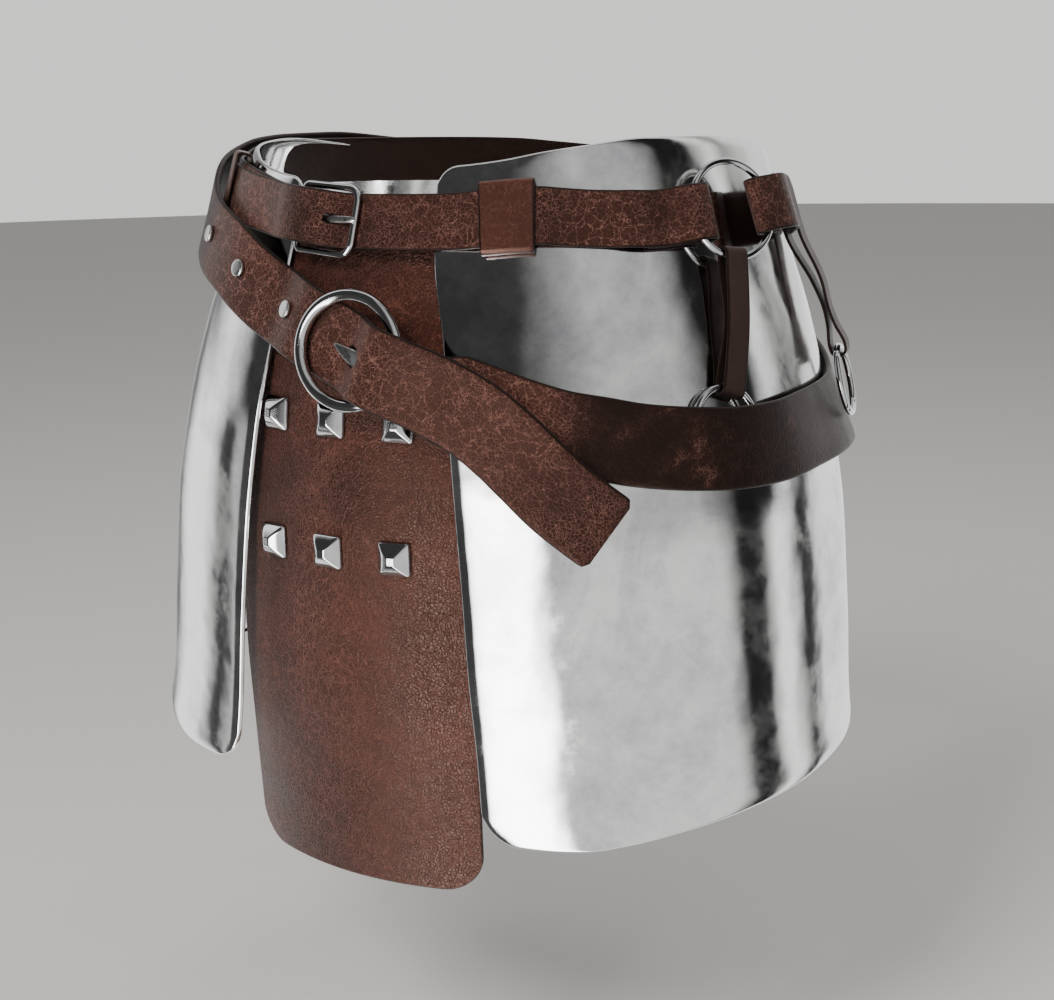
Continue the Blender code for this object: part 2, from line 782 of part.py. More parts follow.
def buckle_frame(track, buckle_run, finish):
    """A flat bar frame with two rounded corners at its tongue end and two square ones at its heel."""
    half_length = BUCKLE_LENGTH / 2 - BUCKLE_BAR / 2
    half_height = BUCKLE_HEIGHT / 2 - BUCKLE_BAR / 2
    outline = []
    for across_sign in (-1, 1):
        start = -90 if across_sign < 0 else 0
        for k in range(6):
            turn = math.radians(start + 18 * k)
            outline.append(
                (
                    half_length - BUCKLE_CORNER + BUCKLE_CORNER * math.cos(turn),
                    across_sign * (half_height - BUCKLE_CORNER) + BUCKLE_CORNER * math.sin(turn),
                )
            )
    heel = BUCKLE_HEEL_CORNER
    outline += [(0.0, half_height)]
    outline += arc(-half_length + heel, half_height - heel, heel, 90, 180, 3)
    outline += arc(-half_length + heel, -half_height + heel, heel, 180, 270, 3)
    outline += [(0.0, -half_height)]
    half = BUCKLE_BAR / 2
    section = [(half * math.cos(math.radians(a)), half * 0.9 * math.sin(math.radians(a))) for a in range(0, 360, 45)]
    centre, along, out, across = track.frame(buckle_run)
    centre = centre + out * BUCKLE_OUT
    rings = []
    for k, (run, rise) in enumerate(outline):
        before, after = outline[k - 1], outline[(k + 1) % len(outline)]
        heading = Vector((after[0] - before[0], after[1] - before[1])).normalized()
        side = Vector((heading.y, -heading.x))
        ring = []
        for a, b in section:
            ring.append(centre + along * (run + side.x * a) + across * (rise + side.y * a) + out * b)
        rings.append(ring)
    return loft("waist_buckle", rings, finish, closed=True, sharp=50.0)


def prong(name, track, path, finish, widths, thick):
    """A tongue that hooks round its bar and lies along (run, out, across) points, with a width for each."""
    placed = [track.place(*spot) for spot in path]
    rings = []
    for k, spot in enumerate(path):
        before, after = placed[max(k - 1, 0)], placed[min(k + 1, len(path) - 1)]
        heading = (after - before).normalized()
        across = track.frame(spot[0])[3]
        across = (across - heading * across.dot(heading)).normalized()
        out = across.cross(heading)
        rings.append([placed[k] + across * a + out * b for a, b in strip_section(widths[k] / 2, thick, 0.32)])
    return loft(name, rings, finish, sharp=50.0)


def cut(target, name, centre, out, across, size):
    """Cuts a slot or, where size is one radius, a round hole through a strap along the direction out."""
    mesh = bpy.data.meshes.new(name)
    work = bmesh.new()
    if len(size) == 1:
        bmesh.ops.create_cone(
            work, cap_ends=True, segments=16, radius1=size[0] * MM, radius2=size[0] * MM, depth=20 * MM
        )
    else:
        bmesh.ops.create_cube(work, size=1.0)
        bmesh.ops.scale(work, vec=Vector((size[0], size[1], size[2])) * MM, verts=work.verts)
    along = across.cross(out)
    turn = Matrix((along, across, out)).transposed().to_4x4()
    work.transform(Matrix.Translation(centre * MM) @ turn)
    if work.calc_volume(signed=True) < 0:
        bmesh.ops.reverse_faces(work, faces=work.faces)
    work.to_mesh(mesh)
    work.free()
    cutter = bpy.data.objects.new(name, mesh)
    cutter.hide_render = True
    cutter.display_type = "WIRE"
    bpy.context.scene.collection.objects.link(cutter)
    modifier = target.modifiers.new(name, "BOOLEAN")
    modifier.operation = "DIFFERENCE"
    modifier.object = cutter
    modifier.solver = "EXACT"


def rivet(name, centre, out, across, leather, finish):
    """A round rivet through a belt: a low bevelled head outside, a shank and a thin burr inside."""
    along = across.cross(out)
    face = leather / 2 + 0.75
    profile = (
        (0.0, face + 2.4),
        (4.6, face + 2.4),
        (5.4, face + 1.6),
        (5.4, face),
        (2.0, face),
        (2.0, -face),
        (3.6, -face),
        (3.6, -face - 0.7),
        (0.0, -face - 0.7),
    )
    sides = 12
    points = [centre + out * profile[0][1], centre + out * profile[-1][1]]
    faces = []
    ring_count = len(profile) - 2
    for radius, rise in profile[1:-1]:
        for k in range(sides):
            turn = math.tau * k / sides
            points.append(centre + out * rise + (along * math.cos(turn) + across * math.sin(turn)) * radius)
    for k in range(sides):
        j = (k + 1) % sides
        faces.append((0, 2 + k, 2 + j))
        for i in range(ring_count - 1):
            low, high = 2 + i * sides, 2 + (i + 1) * sides
            faces.append((low + k, high + k, high + j, low + j))
        last = 2 + (ring_count - 1) * sides
        faces.append((last + k, 1, last + j))
    return add_object(name, points, faces, finish, sharp=30.0)


for old in list(bpy.data.objects):
    bpy.data.objects.remove(old, do_unlink=True)

steel = material("polished_steel", (0.62, 0.62, 0.63), 0.18, 1.0)
bright = material("chromed_steel", (0.72, 0.72, 0.73), 0.12, 1.0)
leather = material("oiled_leather", (0.045, 0.024, 0.019), 0.5, 0.0)
panel_leather = material("panel_leather", (0.055, 0.027, 0.021), 0.55, 0.0)

# Plates, panel and studs
hip_plate("plate_left", 1, "left", steel)
hip_plate("plate_right", -1, "right", steel)
loin_panel(panel_leather)
for row, stud_height in enumerate(STUD_ROWS):
    for column in range(3):
        pyramid_stud(
            "pyramid_stud_%d" % (3 * row + column + 1), (column - 1) * STUD_PITCH, stud_height, bright
        )

# Straps run down the hip from the rings' middles
front_strap = Track.down_body(FRONT_STRAP, UPPER_RING_HEIGHT, LOWER_RING_HEIGHT)
rear_strap = Track.down_body(REAR_STRAP, 0.0, REAR_RING_HEIGHT)

# Upper ring, between the two halves of the waist belt
ring_normal = hip_normal(UPPER_RING_ANGLE, UPPER_RING_HEIGHT)
ring_face = Matrix.Rotation(math.radians(-UPPER_RING_TURN), 3, "Z") @ ring_normal
ring_side = Vector((0.0, 0.0, 1.0)).cross(ring_face).normalized()
ring_down = ring_side.cross(ring_face)
upper_centre = hip_point(UPPER_RING_ANGLE, UPPER_RING_HEIGHT, UPPER_RING_OUT)
torus("upper_ring", upper_centre, ring_down, ring_side, UPPER_RING_RADIUS, RING_WIRE, bright)
ring_hold = math.sqrt(UPPER_RING_RADIUS**2 - (BELT_WIDTH / 2 + 2.9) ** 2)


def bar_of(track, point, direction, stretch=(0.0, 1e6)):
    """Where a ring's bar lies on a track: distance along, distance out and slope."""
    run, out = track.locate(point, stretch)
    return run, out, tilt_of(track, run, direction)


def belt_bar(track, centre, face, reach):
    """The bar of a ring at which a belt folds, a distance before or after the ring's middle."""
    along = track.frame(track.locate(centre)[0])[1]
    along = (along - face * along.dot(face)).normalized()
    return bar_of(track, centre + along * reach, along)


# Waist belt
waist_front = Track.round_body(WAIST_FRONT, -56, 84)
front_bar = belt_bar(waist_front, upper_centre, ring_face, -ring_hold)
buckle_run = waist_front.run_at(BUCKLE_ANGLE)
buckle_spot, buckle_along, buckle_face, _ = waist_front.frame(buckle_run)
buckle_centre = buckle_spot + buckle_face * BUCKLE_OUT
buckle_reach = BUCKLE_LENGTH / 2 - BUCKLE_BAR / 2
tongue = bar_of(waist_front, buckle_centre + buckle_along * buckle_reach, buckle_along)
heel = bar_of(waist_front, buckle_centre - buckle_along * buckle_reach, buckle_along)
front_belt, front_path = waist_belt_front(waist_front, front_bar, tongue, heel, leather)
waist_rear = Track.round_body(WAIST_REAR, 74, 357)
rear_bar = belt_bar(waist_rear, upper_centre, ring_face, ring_hold)
rear_heel = bar_of(waist_rear, buckle_centre - buckle_along * buckle_reach, buckle_along)
rear_belt = waist_belt_rear(waist_rear, rear_bar, rear_heel, leather)
buckle_frame(waist_front, buckle_run, bright)
keeper_low = BELT_RAISED - BELT_LEATHER / 2
keeper("front_keeper", waist_front, FRONT_KEEPER, keeper_low - 0.3, keeper_low + BELT_LEATHER + 0.3, leather)
keeper("tail_keeper", waist_front, TAIL_KEEPER, keeper_low - 0.5, keeper_low + 2 * BELT_LEATHER + 1.2, leather)

# Front strap and its ring, between plate and slung belt
strap_bend = fold_radius(RING_WIRE, STRAP_LEATHER) + 0.5
upper_sag = UPPER_RING_RADIUS - math.sqrt(UPPER_RING_RADIUS**2 - (STRAP_WIDTH / 2) ** 2)
lower_sag = LOWER_RING_RADIUS - math.sqrt(LOWER_RING_RADIUS**2 - (STRAP_WIDTH / 2) ** 2)
top_bar = bar_of(front_strap, upper_centre + ring_down * (UPPER_RING_RADIUS - 0.3), ring_down)
spot, lower_down, lower_face, lower_side = front_strap.frame(front_strap.length())
lower_centre = spot + lower_face * LOWER_RING_OUT
torus("lower_ring_front", lower_centre, lower_down, lower_side, LOWER_RING_RADIUS, RING_WIRE, bright)
low_bar = bar_of(front_strap, lower_centre - lower_down * LOWER_RING_RADIUS, lower_down)
path = turned(arc(-upper_sag, 0, strap_bend, 90, 270, 8) + [(3.0, -strap_bend)], *top_bar)
path += [((top_bar[0] + low_bar[0]) / 2, (top_bar[1] + low_bar[1]) / 2 - 0.4)]
path += turned([(-3.0, -strap_bend)] + arc(lower_sag, 0, strap_bend, -90, 90, 8), *low_bar)
path += turned([(-3.0, strap_bend)], *low_bar) + turned([(3.0, strap_bend)], *top_bar)
strap_path = tidy(smooth_between(path + path[:1], 14.0)[:-1], 0.6)
strip("front_strap", front_strap, strap_path, leather, STRAP_WIDTH, STRAP_LEATHER, closed=True)

# Rear strap round the waist belt, and its hanging ring
rear_end = rear_strap.length()
spot, hang_down, hang_face, hang_side = rear_strap.frame(rear_end)
hang_centre = spot + hang_face * REAR_RING_OUT
hinge = hang_centre - hang_down * LOWER_RING_RADIUS
hang_ring = torus("lower_ring_rear", hang_centre - hinge, hang_down, hang_side, LOWER_RING_RADIUS, RING_WIRE, bright)
hang_ring.location = hinge * MM
belt_point = waist_rear.place(waist_rear.run_at(REAR_STRAP.rows[0][1]), REAR_STRAP_BELT_OUT, BELT_WIDTH / 2)
belt_run, belt_out = rear_strap.locate(belt_point)
top_bend = BELT_LEATHER / 2 + 1.6 + STRAP_LEATHER / 2
hang_bar = bar_of(rear_strap, hinge, hang_down)
pinch = (hang_bar[0] - 24, hang_bar[1] - 0.5)
path = arc(belt_run - 0.2, belt_out - 0.3, top_bend, 90, 270, 8)
path += [(belt_run + 16, belt_out - top_bend - 0.9), (belt_run + 35, belt_out - top_bend - 0.3)]
path += [(pinch[0] - 18, pinch[1] - 3.4), (pinch[0], pinch[1] - 1.5), (pinch[0] + 9, pinch[1] - 1.9)]
path += turned(arc(0.9, 0.7, REAR_BEND, -90, 90, 8), *hang_bar)
path += [(pinch[0] + 9, pinch[1] + 2.6), (pinch[0], pinch[1] + 1.5), (pinch[0] - 18, pinch[1] + 2.2)]
path += [(belt_run + 35, belt_out + top_bend + 0.9), (belt_run + 16, belt_out + top_bend + 0.6)]
strap_path = tidy(smooth_between(path + path[:1], 14.0)[:-1], 0.6)
strip("rear_strap", rear_strap, strap_path, leather, STRAP_WIDTH, STRAP_LEATHER, closed=True)

# Slung belt, from its fold on the big ring, round the body, through the ring, to its tail
azimuth, lean = math.radians(BIG_RING_AZIMUTH), math.radians(BIG_RING_LEAN)
big_centre = Vector(BIG_RING_CENTRE)
big_face = Vector((math.sin(azimuth) * math.cos(lean), -math.cos(azimuth) * math.cos(lean), math.sin(lean)))
slung = Track.round_body(SLUNG, 0, 410.5)
slung_along = slung.frame(slung.run_at(12))[1]
big_along = (slung_along - big_face * slung_along.dot(big_face)).normalized()
big_across = big_face.cross(big_along)
torus("big_ring", big_centre, big_along, big_across, BIG_RING_RADIUS, BIG_RING_WIRE, bright, 32)
late = (slung.run_at(340), slung.length())
fold_bar = bar_of(slung, big_centre + big_along * BIG_RING_RADIUS, big_along, (0.0, slung.run_at(40)))
under_bar = bar_of(slung, big_centre - big_along * BIG_RING_RADIUS, big_along, late)
over_bar = bar_of(slung, big_centre + big_along * BIG_RING_RADIUS, big_along, late)
tab_sag = BIG_RING_RADIUS - math.sqrt(BIG_RING_RADIUS**2 - (SLUNG_TAB / 2 + 2.0) ** 2)
tab_bend = fold_radius(BIG_RING_WIRE, SLUNG_TAB_LEATHER) + 0.2
fold = [(20.0, -tab_bend + 1.0), (9.0, -tab_bend)] + arc(-tab_sag, 0, tab_bend, -90, -270, 10) + [(7.0, tab_bend)]
path = turned(fold, *fold_bar)
fold_count = len(tidy(path))
under = under_bar[1] - BIG_RING_WIRE / 2 - 0.9 - SLUNG_LEATHER / 2
over = over_bar[1] + tab_bend + SLUNG_TAB_LEATHER / 2 + 1.7 + SLUNG_LEATHER / 2
start, stop = slung.run_at(26), slung.run_at(345)
run = start
while run < stop - 5:
    angle = next(slung.spots[k][0] for k in range(len(slung.lengths)) if slung.lengths[k] >= run)
    path.append((run, SLUNG.at("out", angle)))
    run += SLUNG_STEP
middle_run = (under_bar[0] + over_bar[0]) / 2
path += [(under_bar[0] - 10, under), (under_bar[0], under), (under_bar[0] + 12, under - 2.2)]
path += eased((middle_run - 3, under - 2.0), (over_bar[0] - 12.5, over + 0.6), 7)
path += [(over_bar[0] + 5, over)]
path += [(slung.run_at(angle), SLUNG.at("out", angle)) for angle in (380, 384, 388, 393, 398, 403)]
end = slung.length()
path += [(end - k, SLUNG.at("out", 410)) for k in (14.0, 10.0, 6.0, 2.5, 0.3)]
slung_path = tidy(path)
tail_width = rounded_end(slung_path, SLUNG_WIDTH, 10.0)
runs = [spot[0] for spot in slung_path]


def tab_share(k):
    """How far the belt has widened from its tab to its full width at a point of its path, from 0 to 1."""
    if k < fold_count:
        return 0.0
    t = min(max((runs[k] - runs[fold_count - 1]) / 22.0, 0.0), 1.0)
    return t * t * (3 - 2 * t)


def slung_width(share, k):
    return min(tail_width(share, k), SLUNG_TAB + (SLUNG_WIDTH - SLUNG_TAB) * tab_share(k))


def slung_leather(_, k):
    return SLUNG_TAB_LEATHER + (SLUNG_LEATHER - SLUNG_TAB_LEATHER) * tab_share(k)


slung_belt = strip("slung_belt", slung, slung_path, leather, slung_width, slung_leather)

# Rivets for the slung belt's holes
for number, rivet_angle in enumerate(RIVET_ANGLES):
    centre, out, across = on_strip(slung, slung_path, slung.run_at(360 + rivet_angle), fold_count)
    centre += across * RIVET_RISE
    rivet("belt_rivet_%d" % (number + 1), centre, out, across, SLUNG_LEATHER, bright)
    cut(slung_belt, "rivet_hole_%d" % (number + 1), centre, out, across, (2.55,))

# Waist prong: round the heel bar, through the slit in the front belt, onto the tongue bar
reach = BUCKLE_BAR / 2 + 0.45 + PRONG / 2
hook = turned(arc(0, 0, reach, -30, -270, 8), *heel)
rest = tongue[1] + BUCKLE_BAR / 2 + 0.4 + PRONG / 2
shaft = [(heel[0] + 12, heel[1] + reach), (tongue[0] - 8, rest + 0.1), (tongue[0] + 0.5, rest)]
shaft += [(tongue[0] + 3.0, rest - 0.3)]
prong_path = [(run, out, 0.0) for run, out in hook + shaft]
prong_widths = [PRONG_WIDTH] * (len(hook) + 2) + [PRONG_WIDTH * 0.85, PRONG_WIDTH * 0.5]
prong("waist_prong", waist_front, prong_path, bright, prong_widths, PRONG)
fold_spot = waist_front.place(heel[0], heel[1])
_, heel_along, heel_face, heel_across = waist_front.frame(heel[0])
cut(rear_belt, "heel_slot", fold_spot, heel_face, heel_across, (15.0, PRONG_WIDTH + 1.6, 12.0))
level = heel[1] + reach
crossing = next(
    front_path[k][0]
    for k in range(len(front_path) - 1)
    if heel[0] < front_path[k][0] < tongue[0] and front_path[k][1] <= level <= front_path[k + 1][1]
)
slit = on_strip(waist_front, front_path, crossing - 1.0)
cut(front_belt, "waist_slit", *slit, (10.0, PRONG_WIDTH + 1.6, 12.0))

# Slung prong: a broad claw, round the big ring, through the slit in the slung belt
reach = BIG_RING_WIRE / 2 + 0.7 + CLAW / 2
hook = turned(arc(0, 0, reach, -150, 90, 10), *over_bar)
tip_run = slung.run_at(CLAW_TIP_ANGLE)
level = over_bar[1] + reach
shaft = [(over_bar[0] - 9, level), (over_bar[0] - 15, level), (over_bar[0] - 21, level + 0.2)]
shaft += [(tip_run + 14, level + 0.2), (tip_run + 6, level - 0.3), (tip_run + 1.5, level - 0.9), (tip_run, level - 1.2)]
rise = [0.0] * (len(hook) + 1) + [-0.3, -0.6, -0.2, 0.5, 1.0, 1.2]
claw_path = [(run, out, across) for (run, out), across in zip(hook + shaft, rise)]
claw_widths = [5.5] * (len(hook) + 1) + [8.0, 10.0, 8.6, 5.2, 2.6, 1.4]
prong("slung_prong", slung, claw_path, bright, claw_widths, CLAW)
_, bar_along, bar_face, bar_across = slung.frame(fold_bar[0])
fold_spot = slung.place(fold_bar[0] - 1.5, fold_bar[1])
cut(slung_belt, "tab_slot", fold_spot, bar_face, bar_across, (17.0, 7.0, 15.0))
crossing = next(
    slung_path[k][0]
    for k in range(fold_count, len(slung_path) - 1)
    if middle_run - 5 < slung_path[k][0] and slung_path[k][1] <= level <= slung_path[k + 1][1]
)
slit_centre, slit_out, slit_across = on_strip(slung, slung_path, crossing - 0.5, fold_count)
cut(slung_belt, "slung_slit", slit_centre, slit_out, slit_across, (17.0, 12.0, 10.0))
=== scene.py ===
import math

import bmesh
import bpy
from mathutils import Matrix, Vector, noise


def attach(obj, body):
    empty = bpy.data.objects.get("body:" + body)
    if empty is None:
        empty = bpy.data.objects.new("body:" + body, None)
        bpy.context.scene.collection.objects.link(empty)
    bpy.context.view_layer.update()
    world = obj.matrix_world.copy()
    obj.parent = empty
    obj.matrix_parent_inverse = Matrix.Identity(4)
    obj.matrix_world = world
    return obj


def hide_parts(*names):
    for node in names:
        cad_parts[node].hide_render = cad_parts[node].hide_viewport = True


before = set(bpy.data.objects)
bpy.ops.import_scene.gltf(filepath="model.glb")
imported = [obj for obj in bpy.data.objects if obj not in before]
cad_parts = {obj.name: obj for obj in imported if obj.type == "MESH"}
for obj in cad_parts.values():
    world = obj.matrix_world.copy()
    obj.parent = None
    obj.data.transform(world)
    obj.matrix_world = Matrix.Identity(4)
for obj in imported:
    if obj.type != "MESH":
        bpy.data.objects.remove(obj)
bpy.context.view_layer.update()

# Waist armour, laid out as its solids are: the wearer faces -Y, with the left hand at +X and up at +Z.
# Lengths are millimetres and angles are degrees. An angle round the body is measured from the front,
# positive towards the wearer's left.
MM = 0.001
# Next to nothing, and farther off than anything here
FINEST = 1e-6
FAR = 1e6

# Camera, from the photograph's fitted angle
CAMERA_SPOT = (0.64318795, -0.95311522, 0.04288776)
CAMERA_FORWARD = (-0.53590375, 0.81118865, -0.23405158)
CAMERA_RIGHT = (0.836636, 0.54745588, -0.01822836)
CAMERA_UP = (-0.11334628, 0.20558463, 0.97205328)
CAMERA_FOCAL_PIXELS = 1696.2
PHOTO_WIDTH_PIXELS = 1054
SENSOR_WIDTH = 36.0
FLOOR_HEIGHT = -0.62

# Lamps: name, place, aim, size, watts and colour
LAMPS = (
    ("key", (0.0, -2.1, 1.5), (0.0, 0.0, -0.2), (0.9, 0.9), 54.0, "#fffaf4"),
    ("fill", (2.2, -0.9, 0.6), (0.0, 0.0, -0.2), (1.6, 1.6), 2.5, "#f4f7ff"),
    ("top", (0.3, 0.6, 2.2), (0.0, 0.0, -0.2), (1.6, 1.6), 20.0, "#ffffff"),
)

# The studio that the steel mirrors, below eye level and above it, as lamps, pale walls and dark gaps: degrees
# round from the front at which each begins and ends, and its brightness, which changes evenly in between.
# They are set so that the stripes on the plates fall about where the photograph's do.
STUDIO_PEAK = 22.0
STUDIO_LOW = (
    (-90, -86, 1.9), (-77, -73, 0.07), (-69, -66, 0.8), (-61, -18, 0.09), (-6, 8, 13.0), (15, 92, 1.1),
    (103, 119, 0.03), (128, 134, 1.8), (144, 151, 0.055), (155, 205, 1.6), (240, 243, 0.25),
    (256, 270, 1.9),
)
STUDIO_HIGH = (
    (-90, -83, 1.8), (-68, 12, 0.06), (45, 84, 0.75), (106, 129, 0.02), (139, 142, 1.5),
    (151, 154, 0.1), (162, 210, 1.2), (240, 252, 0.35), (270, 1.8),
)
# Soft light that falls on the leather and the floor, strongest from the front and the wearer's right
STUDIO_SOFT = ((-90, 0.3), (-40, 0.5), (0, 0.7), (35, 0.35), (60, 0.15), (130, 0.16), (200, 0.3), (270, 0.3))
# Brightness of the soft light and share of the upper studio, from below (0) by eye level (0.5) to above (1)
SOFT_HEIGHTS = ((0.25, 0.25), (0.55, 1.0))
STUDIO_EDGE = ((0.475, 0.0), (0.515, 1.0))
BACKDROP = "#dddcda"
BACKDROP_LIGHT = 1.4


class Table:
    """Rows of numbers under named columns, read along a smooth curve through the rows."""

    def __init__(self, columns, rows):
        self.columns = columns
        self.rows = sorted(rows)

    def at(self, column, key):
        pick = self.columns.index(column)
        rows = self.rows
        if key <= rows[0][0]:
            return float(rows[0][pick])
        if key >= rows[-1][0]:
            return float(rows[-1][pick])
        low = max(k for k in range(len(rows) - 1) if rows[k][0] <= key)
        gap = rows[low + 1][0] - rows[low][0]
        t = (key - rows[low][0]) / gap
        start, end = self.slope(pick, low), self.slope(pick, low + 1)
        return (
            (2 * t**3 - 3 * t**2 + 1) * rows[low][pick]
            + (t**3 - 2 * t**2 + t) * gap * start
            + (3 * t**2 - 2 * t**3) * rows[low + 1][pick]
            + (t**3 - t**2) * gap * end
        )

    def slope(self, pick, row):
        """Slope of the curve at a row, flat where the column turns round so that it never overshoots."""
        if row in (0, len(self.rows) - 1):
            other = 1 if row == 0 else row - 1
            return self.step(pick, min(row, other))
        before, after = self.step(pick, row - 1), self.step(pick, row)
        if before * after <= 0:
            return 0.0
        return 2 * before * after / (before + after)

    def step(self, pick, row):
        first, second = self.rows[row], self.rows[row + 1]
        return (second[pick] - first[pick]) / (second[0] - first[0])


# Shape of the hips: the outer face of the steel plates, as if they met all round.
HIP = Table(
    ("height", "left_half", "right_half", "half_depth", "middle"),
    (
        (40, 157, 152, 138, 1), (0, 172, 168, 147, 0), (-50, 187, 183, 157, -2),
        (-100, 205, 202, 167, -5), (-160, 221, 220, 175, -8), (-220, 233, 234, 178, -10),
        (-290, 240, 243, 176, -13), (-350, 245, 250, 173, -16), (-410, 257, 264, 174, -19),
    ),
)
SQUARENESS = 2.35

# Hip plates
PLATE_SHEET = 1.6
PLATE_LIP = 3.0
PLATE_RIM = 4.0
PLATE_BEVEL = 8.0
PLATE_BEVEL_DROP = 1.4
PLATE_FRONT_GAP = Table(
    ("height", "left", "right"),
    (
        (0, 49, 50), (-50, 53.5, 56.5), (-100, 66.5, 64), (-160, 76, 72.5), (-230, 84, 82),
        (-300, 88.5, 91.5), (-400, 98, 103),
    ),
)
PLATE_BACK_GAP = Table(("height", "left", "right"), ((0, 24, 24), (-150, 34, 34), (-400, 60, 60)))
PLATE_TOP = Table(
    ("angle", "left", "right"),
    (
        (15, 1, -6), (25, 3, -4), (33, 5.5, -1), (42, 10, 4), (50, 13, 9.5), (64, 17, 14),
        (78, 17, 15.5), (95, 14, 11.8), (118, 4, 2.5), (130, -4, -4), (140, -9, -9), (160, -15, -15),
        (175, -18, -18),
    ),
)
PLATE_BOTTOM = Table(
    ("angle", "left", "right"),
    (
        (25, -396, -385), (40, -396.5, -387.5), (47, -395.5, -388.5), (54, -390.5, -386.5),
        (62, -383.5, -381), (75, -375, -374), (90, -370, -369), (118, -363, -363), (175, -358, -358),
    ),
)
PLATE_FRONT_CORNER = {"top": 15.0, "bottom": 24.0}
PLATE_BACK_CORNER = {"top": 12.0, "bottom": 24.0}
PLATE_BORDER = (0.0, 0.15, 0.5, 1.0, 1.5, 2.2, 3.2, 4.5, 6.2, 8.0)
PLATE_REACH = 470.0
PLATE_FALL = 400.0
PLATE_GRID = (64, 54)
# Dents that hammering left: height in mm and waves per mm, faded out this far from the edge
PLATE_DENTS = ((0.32, 0.018), (0.07, 0.06))
PLATE_DENT_FADE = 30.0

# Leather loin panel and its studs
PANEL = Table(
    ("height", "front", "half_width"),
    (
        (-18, -146, 78), (-50, -153, 82), (-100, -166.5, 87), (-150, -175, 90), (-230, -183, 92),
        (-300, -183, 92), (-360, -180, 92), (-450, -175, 91),
    ),
)
PANEL_MIDDLE = -12.0
PANEL_BOW = 0.0025
PANEL_TOP = -18.0
PANEL_BOTTOM = -446.0
PANEL_CORNER = 26.0
PANEL_LEATHER = 3.0
PANEL_BORDER = (0.0, 0.25, 0.7, 1.3, 2.2, 4.0, 7.0)
PANEL_REACH = 200.0
PANEL_SIDE_CORNER = 8.0
PANEL_GRID = (40, 84)
PANEL_SKIVE = 1.4
PANEL_WAVE = 0.18
STUD_SINK = 0.22
STUD_SINK_SPREAD = 18.0
STUD_SIDE = 21.0
STUD_TOP = 5.0
STUD_RISE = 8.0
STUD_FOOT = 1.4
STUD_CROWN = 0.6
STUD_RIDGE = 12.0
STUD_SEAT = 0.4
STUD_GRID = 45
STUD_PITCH = 47.0
STUD_ROWS = (-148.5, -228.5)

# Waist belt
UNEVENNESS = 0.12
# Distance in mm over which the painted shade of the belts' far stretches fades in at each end
PAINTED_SHADE_FADE = 30.0
SHARP_ANGLE = 50.0
BELT_WIDTH = 33.5
BELT_LEATHER = 2.5
WAIST_FRONT = Table(
    ("angle", "height", "turn"),
    (
        (-56, -15, 0), (-45, -18, 0), (-37, -21, 0), (-28, -24, 0), (-18, -28, 0), (-3, -31, 0),
        (12, -30.5, 0), (26, -29.5, 0), (40, -27, 0), (52, -29, 0), (62, -31, 0), (69, -30.4, -2.3),
        (84, -31, -2.3),
    ),
)
WAIST_REAR = Table(
    ("angle", "height", "turn"),
    (
        (78, -31.5, -3.5), (89, -32.4, -3.5), (104, -33.5, 0), (120, -30, 0), (145, -23, 0),
        (170, -15, 0), (185, -12, 0), (198, -9, 0), (210, -6, 0), (230, -4, 0), (257, -2.5, 0),
        (279, -2, 0), (293, -5.5, 0), (304, -11.5, 0), (315, -15, 0), (323, -19, 0), (332, -24, 0),
        (342, -28, 0), (357, -31, 0),
    ),
)
BELT_REST = 2.5
BELT_RAISED = 5.6
BUCKLE_ANGLE = -7.6
BUCKLE_LENGTH = 47.0
BUCKLE_HEIGHT = 44.0
BUCKLE_BAR = 4.2
BUCKLE_CORNER = 8.0
BUCKLE_HEEL_CORNER = 3.0
BUCKLE_OUT = 5.65
PRONG = 2.0
PRONG_WIDTH = 4.4
WAIST_TAIL_ANGLE = -50.0
KEEPER_LEATHER = 1.8
FRONT_KEEPER = {"angle": 35.0, "width": 31.0, "up": 21.5, "down": -21.5}
TAIL_KEEPER = {"angle": -46.0, "width": 11.0, "up": 25.5, "down": -21.0}

# Rings and the straps that hang them
WIRE_SIDES = 20
WIRE_UNEVENNESS = 0.012
RING_WIRE = 4.2
UPPER_RING_RADIUS = 28.8
LOWER_RING_RADIUS = 21.4
STRAP_WIDTH = 15.6
STRAP_LEATHER = 1.8
FRONT_STRAP = Table(("height", "angle", "turn"), ((0, 79.0, 14), (-60, 76.6, 12), (-150, 69.6, 0)))
REAR_STRAP = Table(("height", "angle", "turn"), ((0, 104, 0), (-60, 104.5, 0), (-160, 105, 0)))
UPPER_RING_ANGLE = 77.7
UPPER_RING_HEIGHT = -30.2
UPPER_RING_OUT = 12.6
UPPER_RING_TURN = 13.8
LOWER_RING_HEIGHT = -147.0
LOWER_RING_OUT = 4.9
REAR_RING_HEIGHT = -142.5
REAR_RING_OUT = 14.5
REAR_STRAP_BELT_OUT = 8.0
REAR_BEND = 4.75

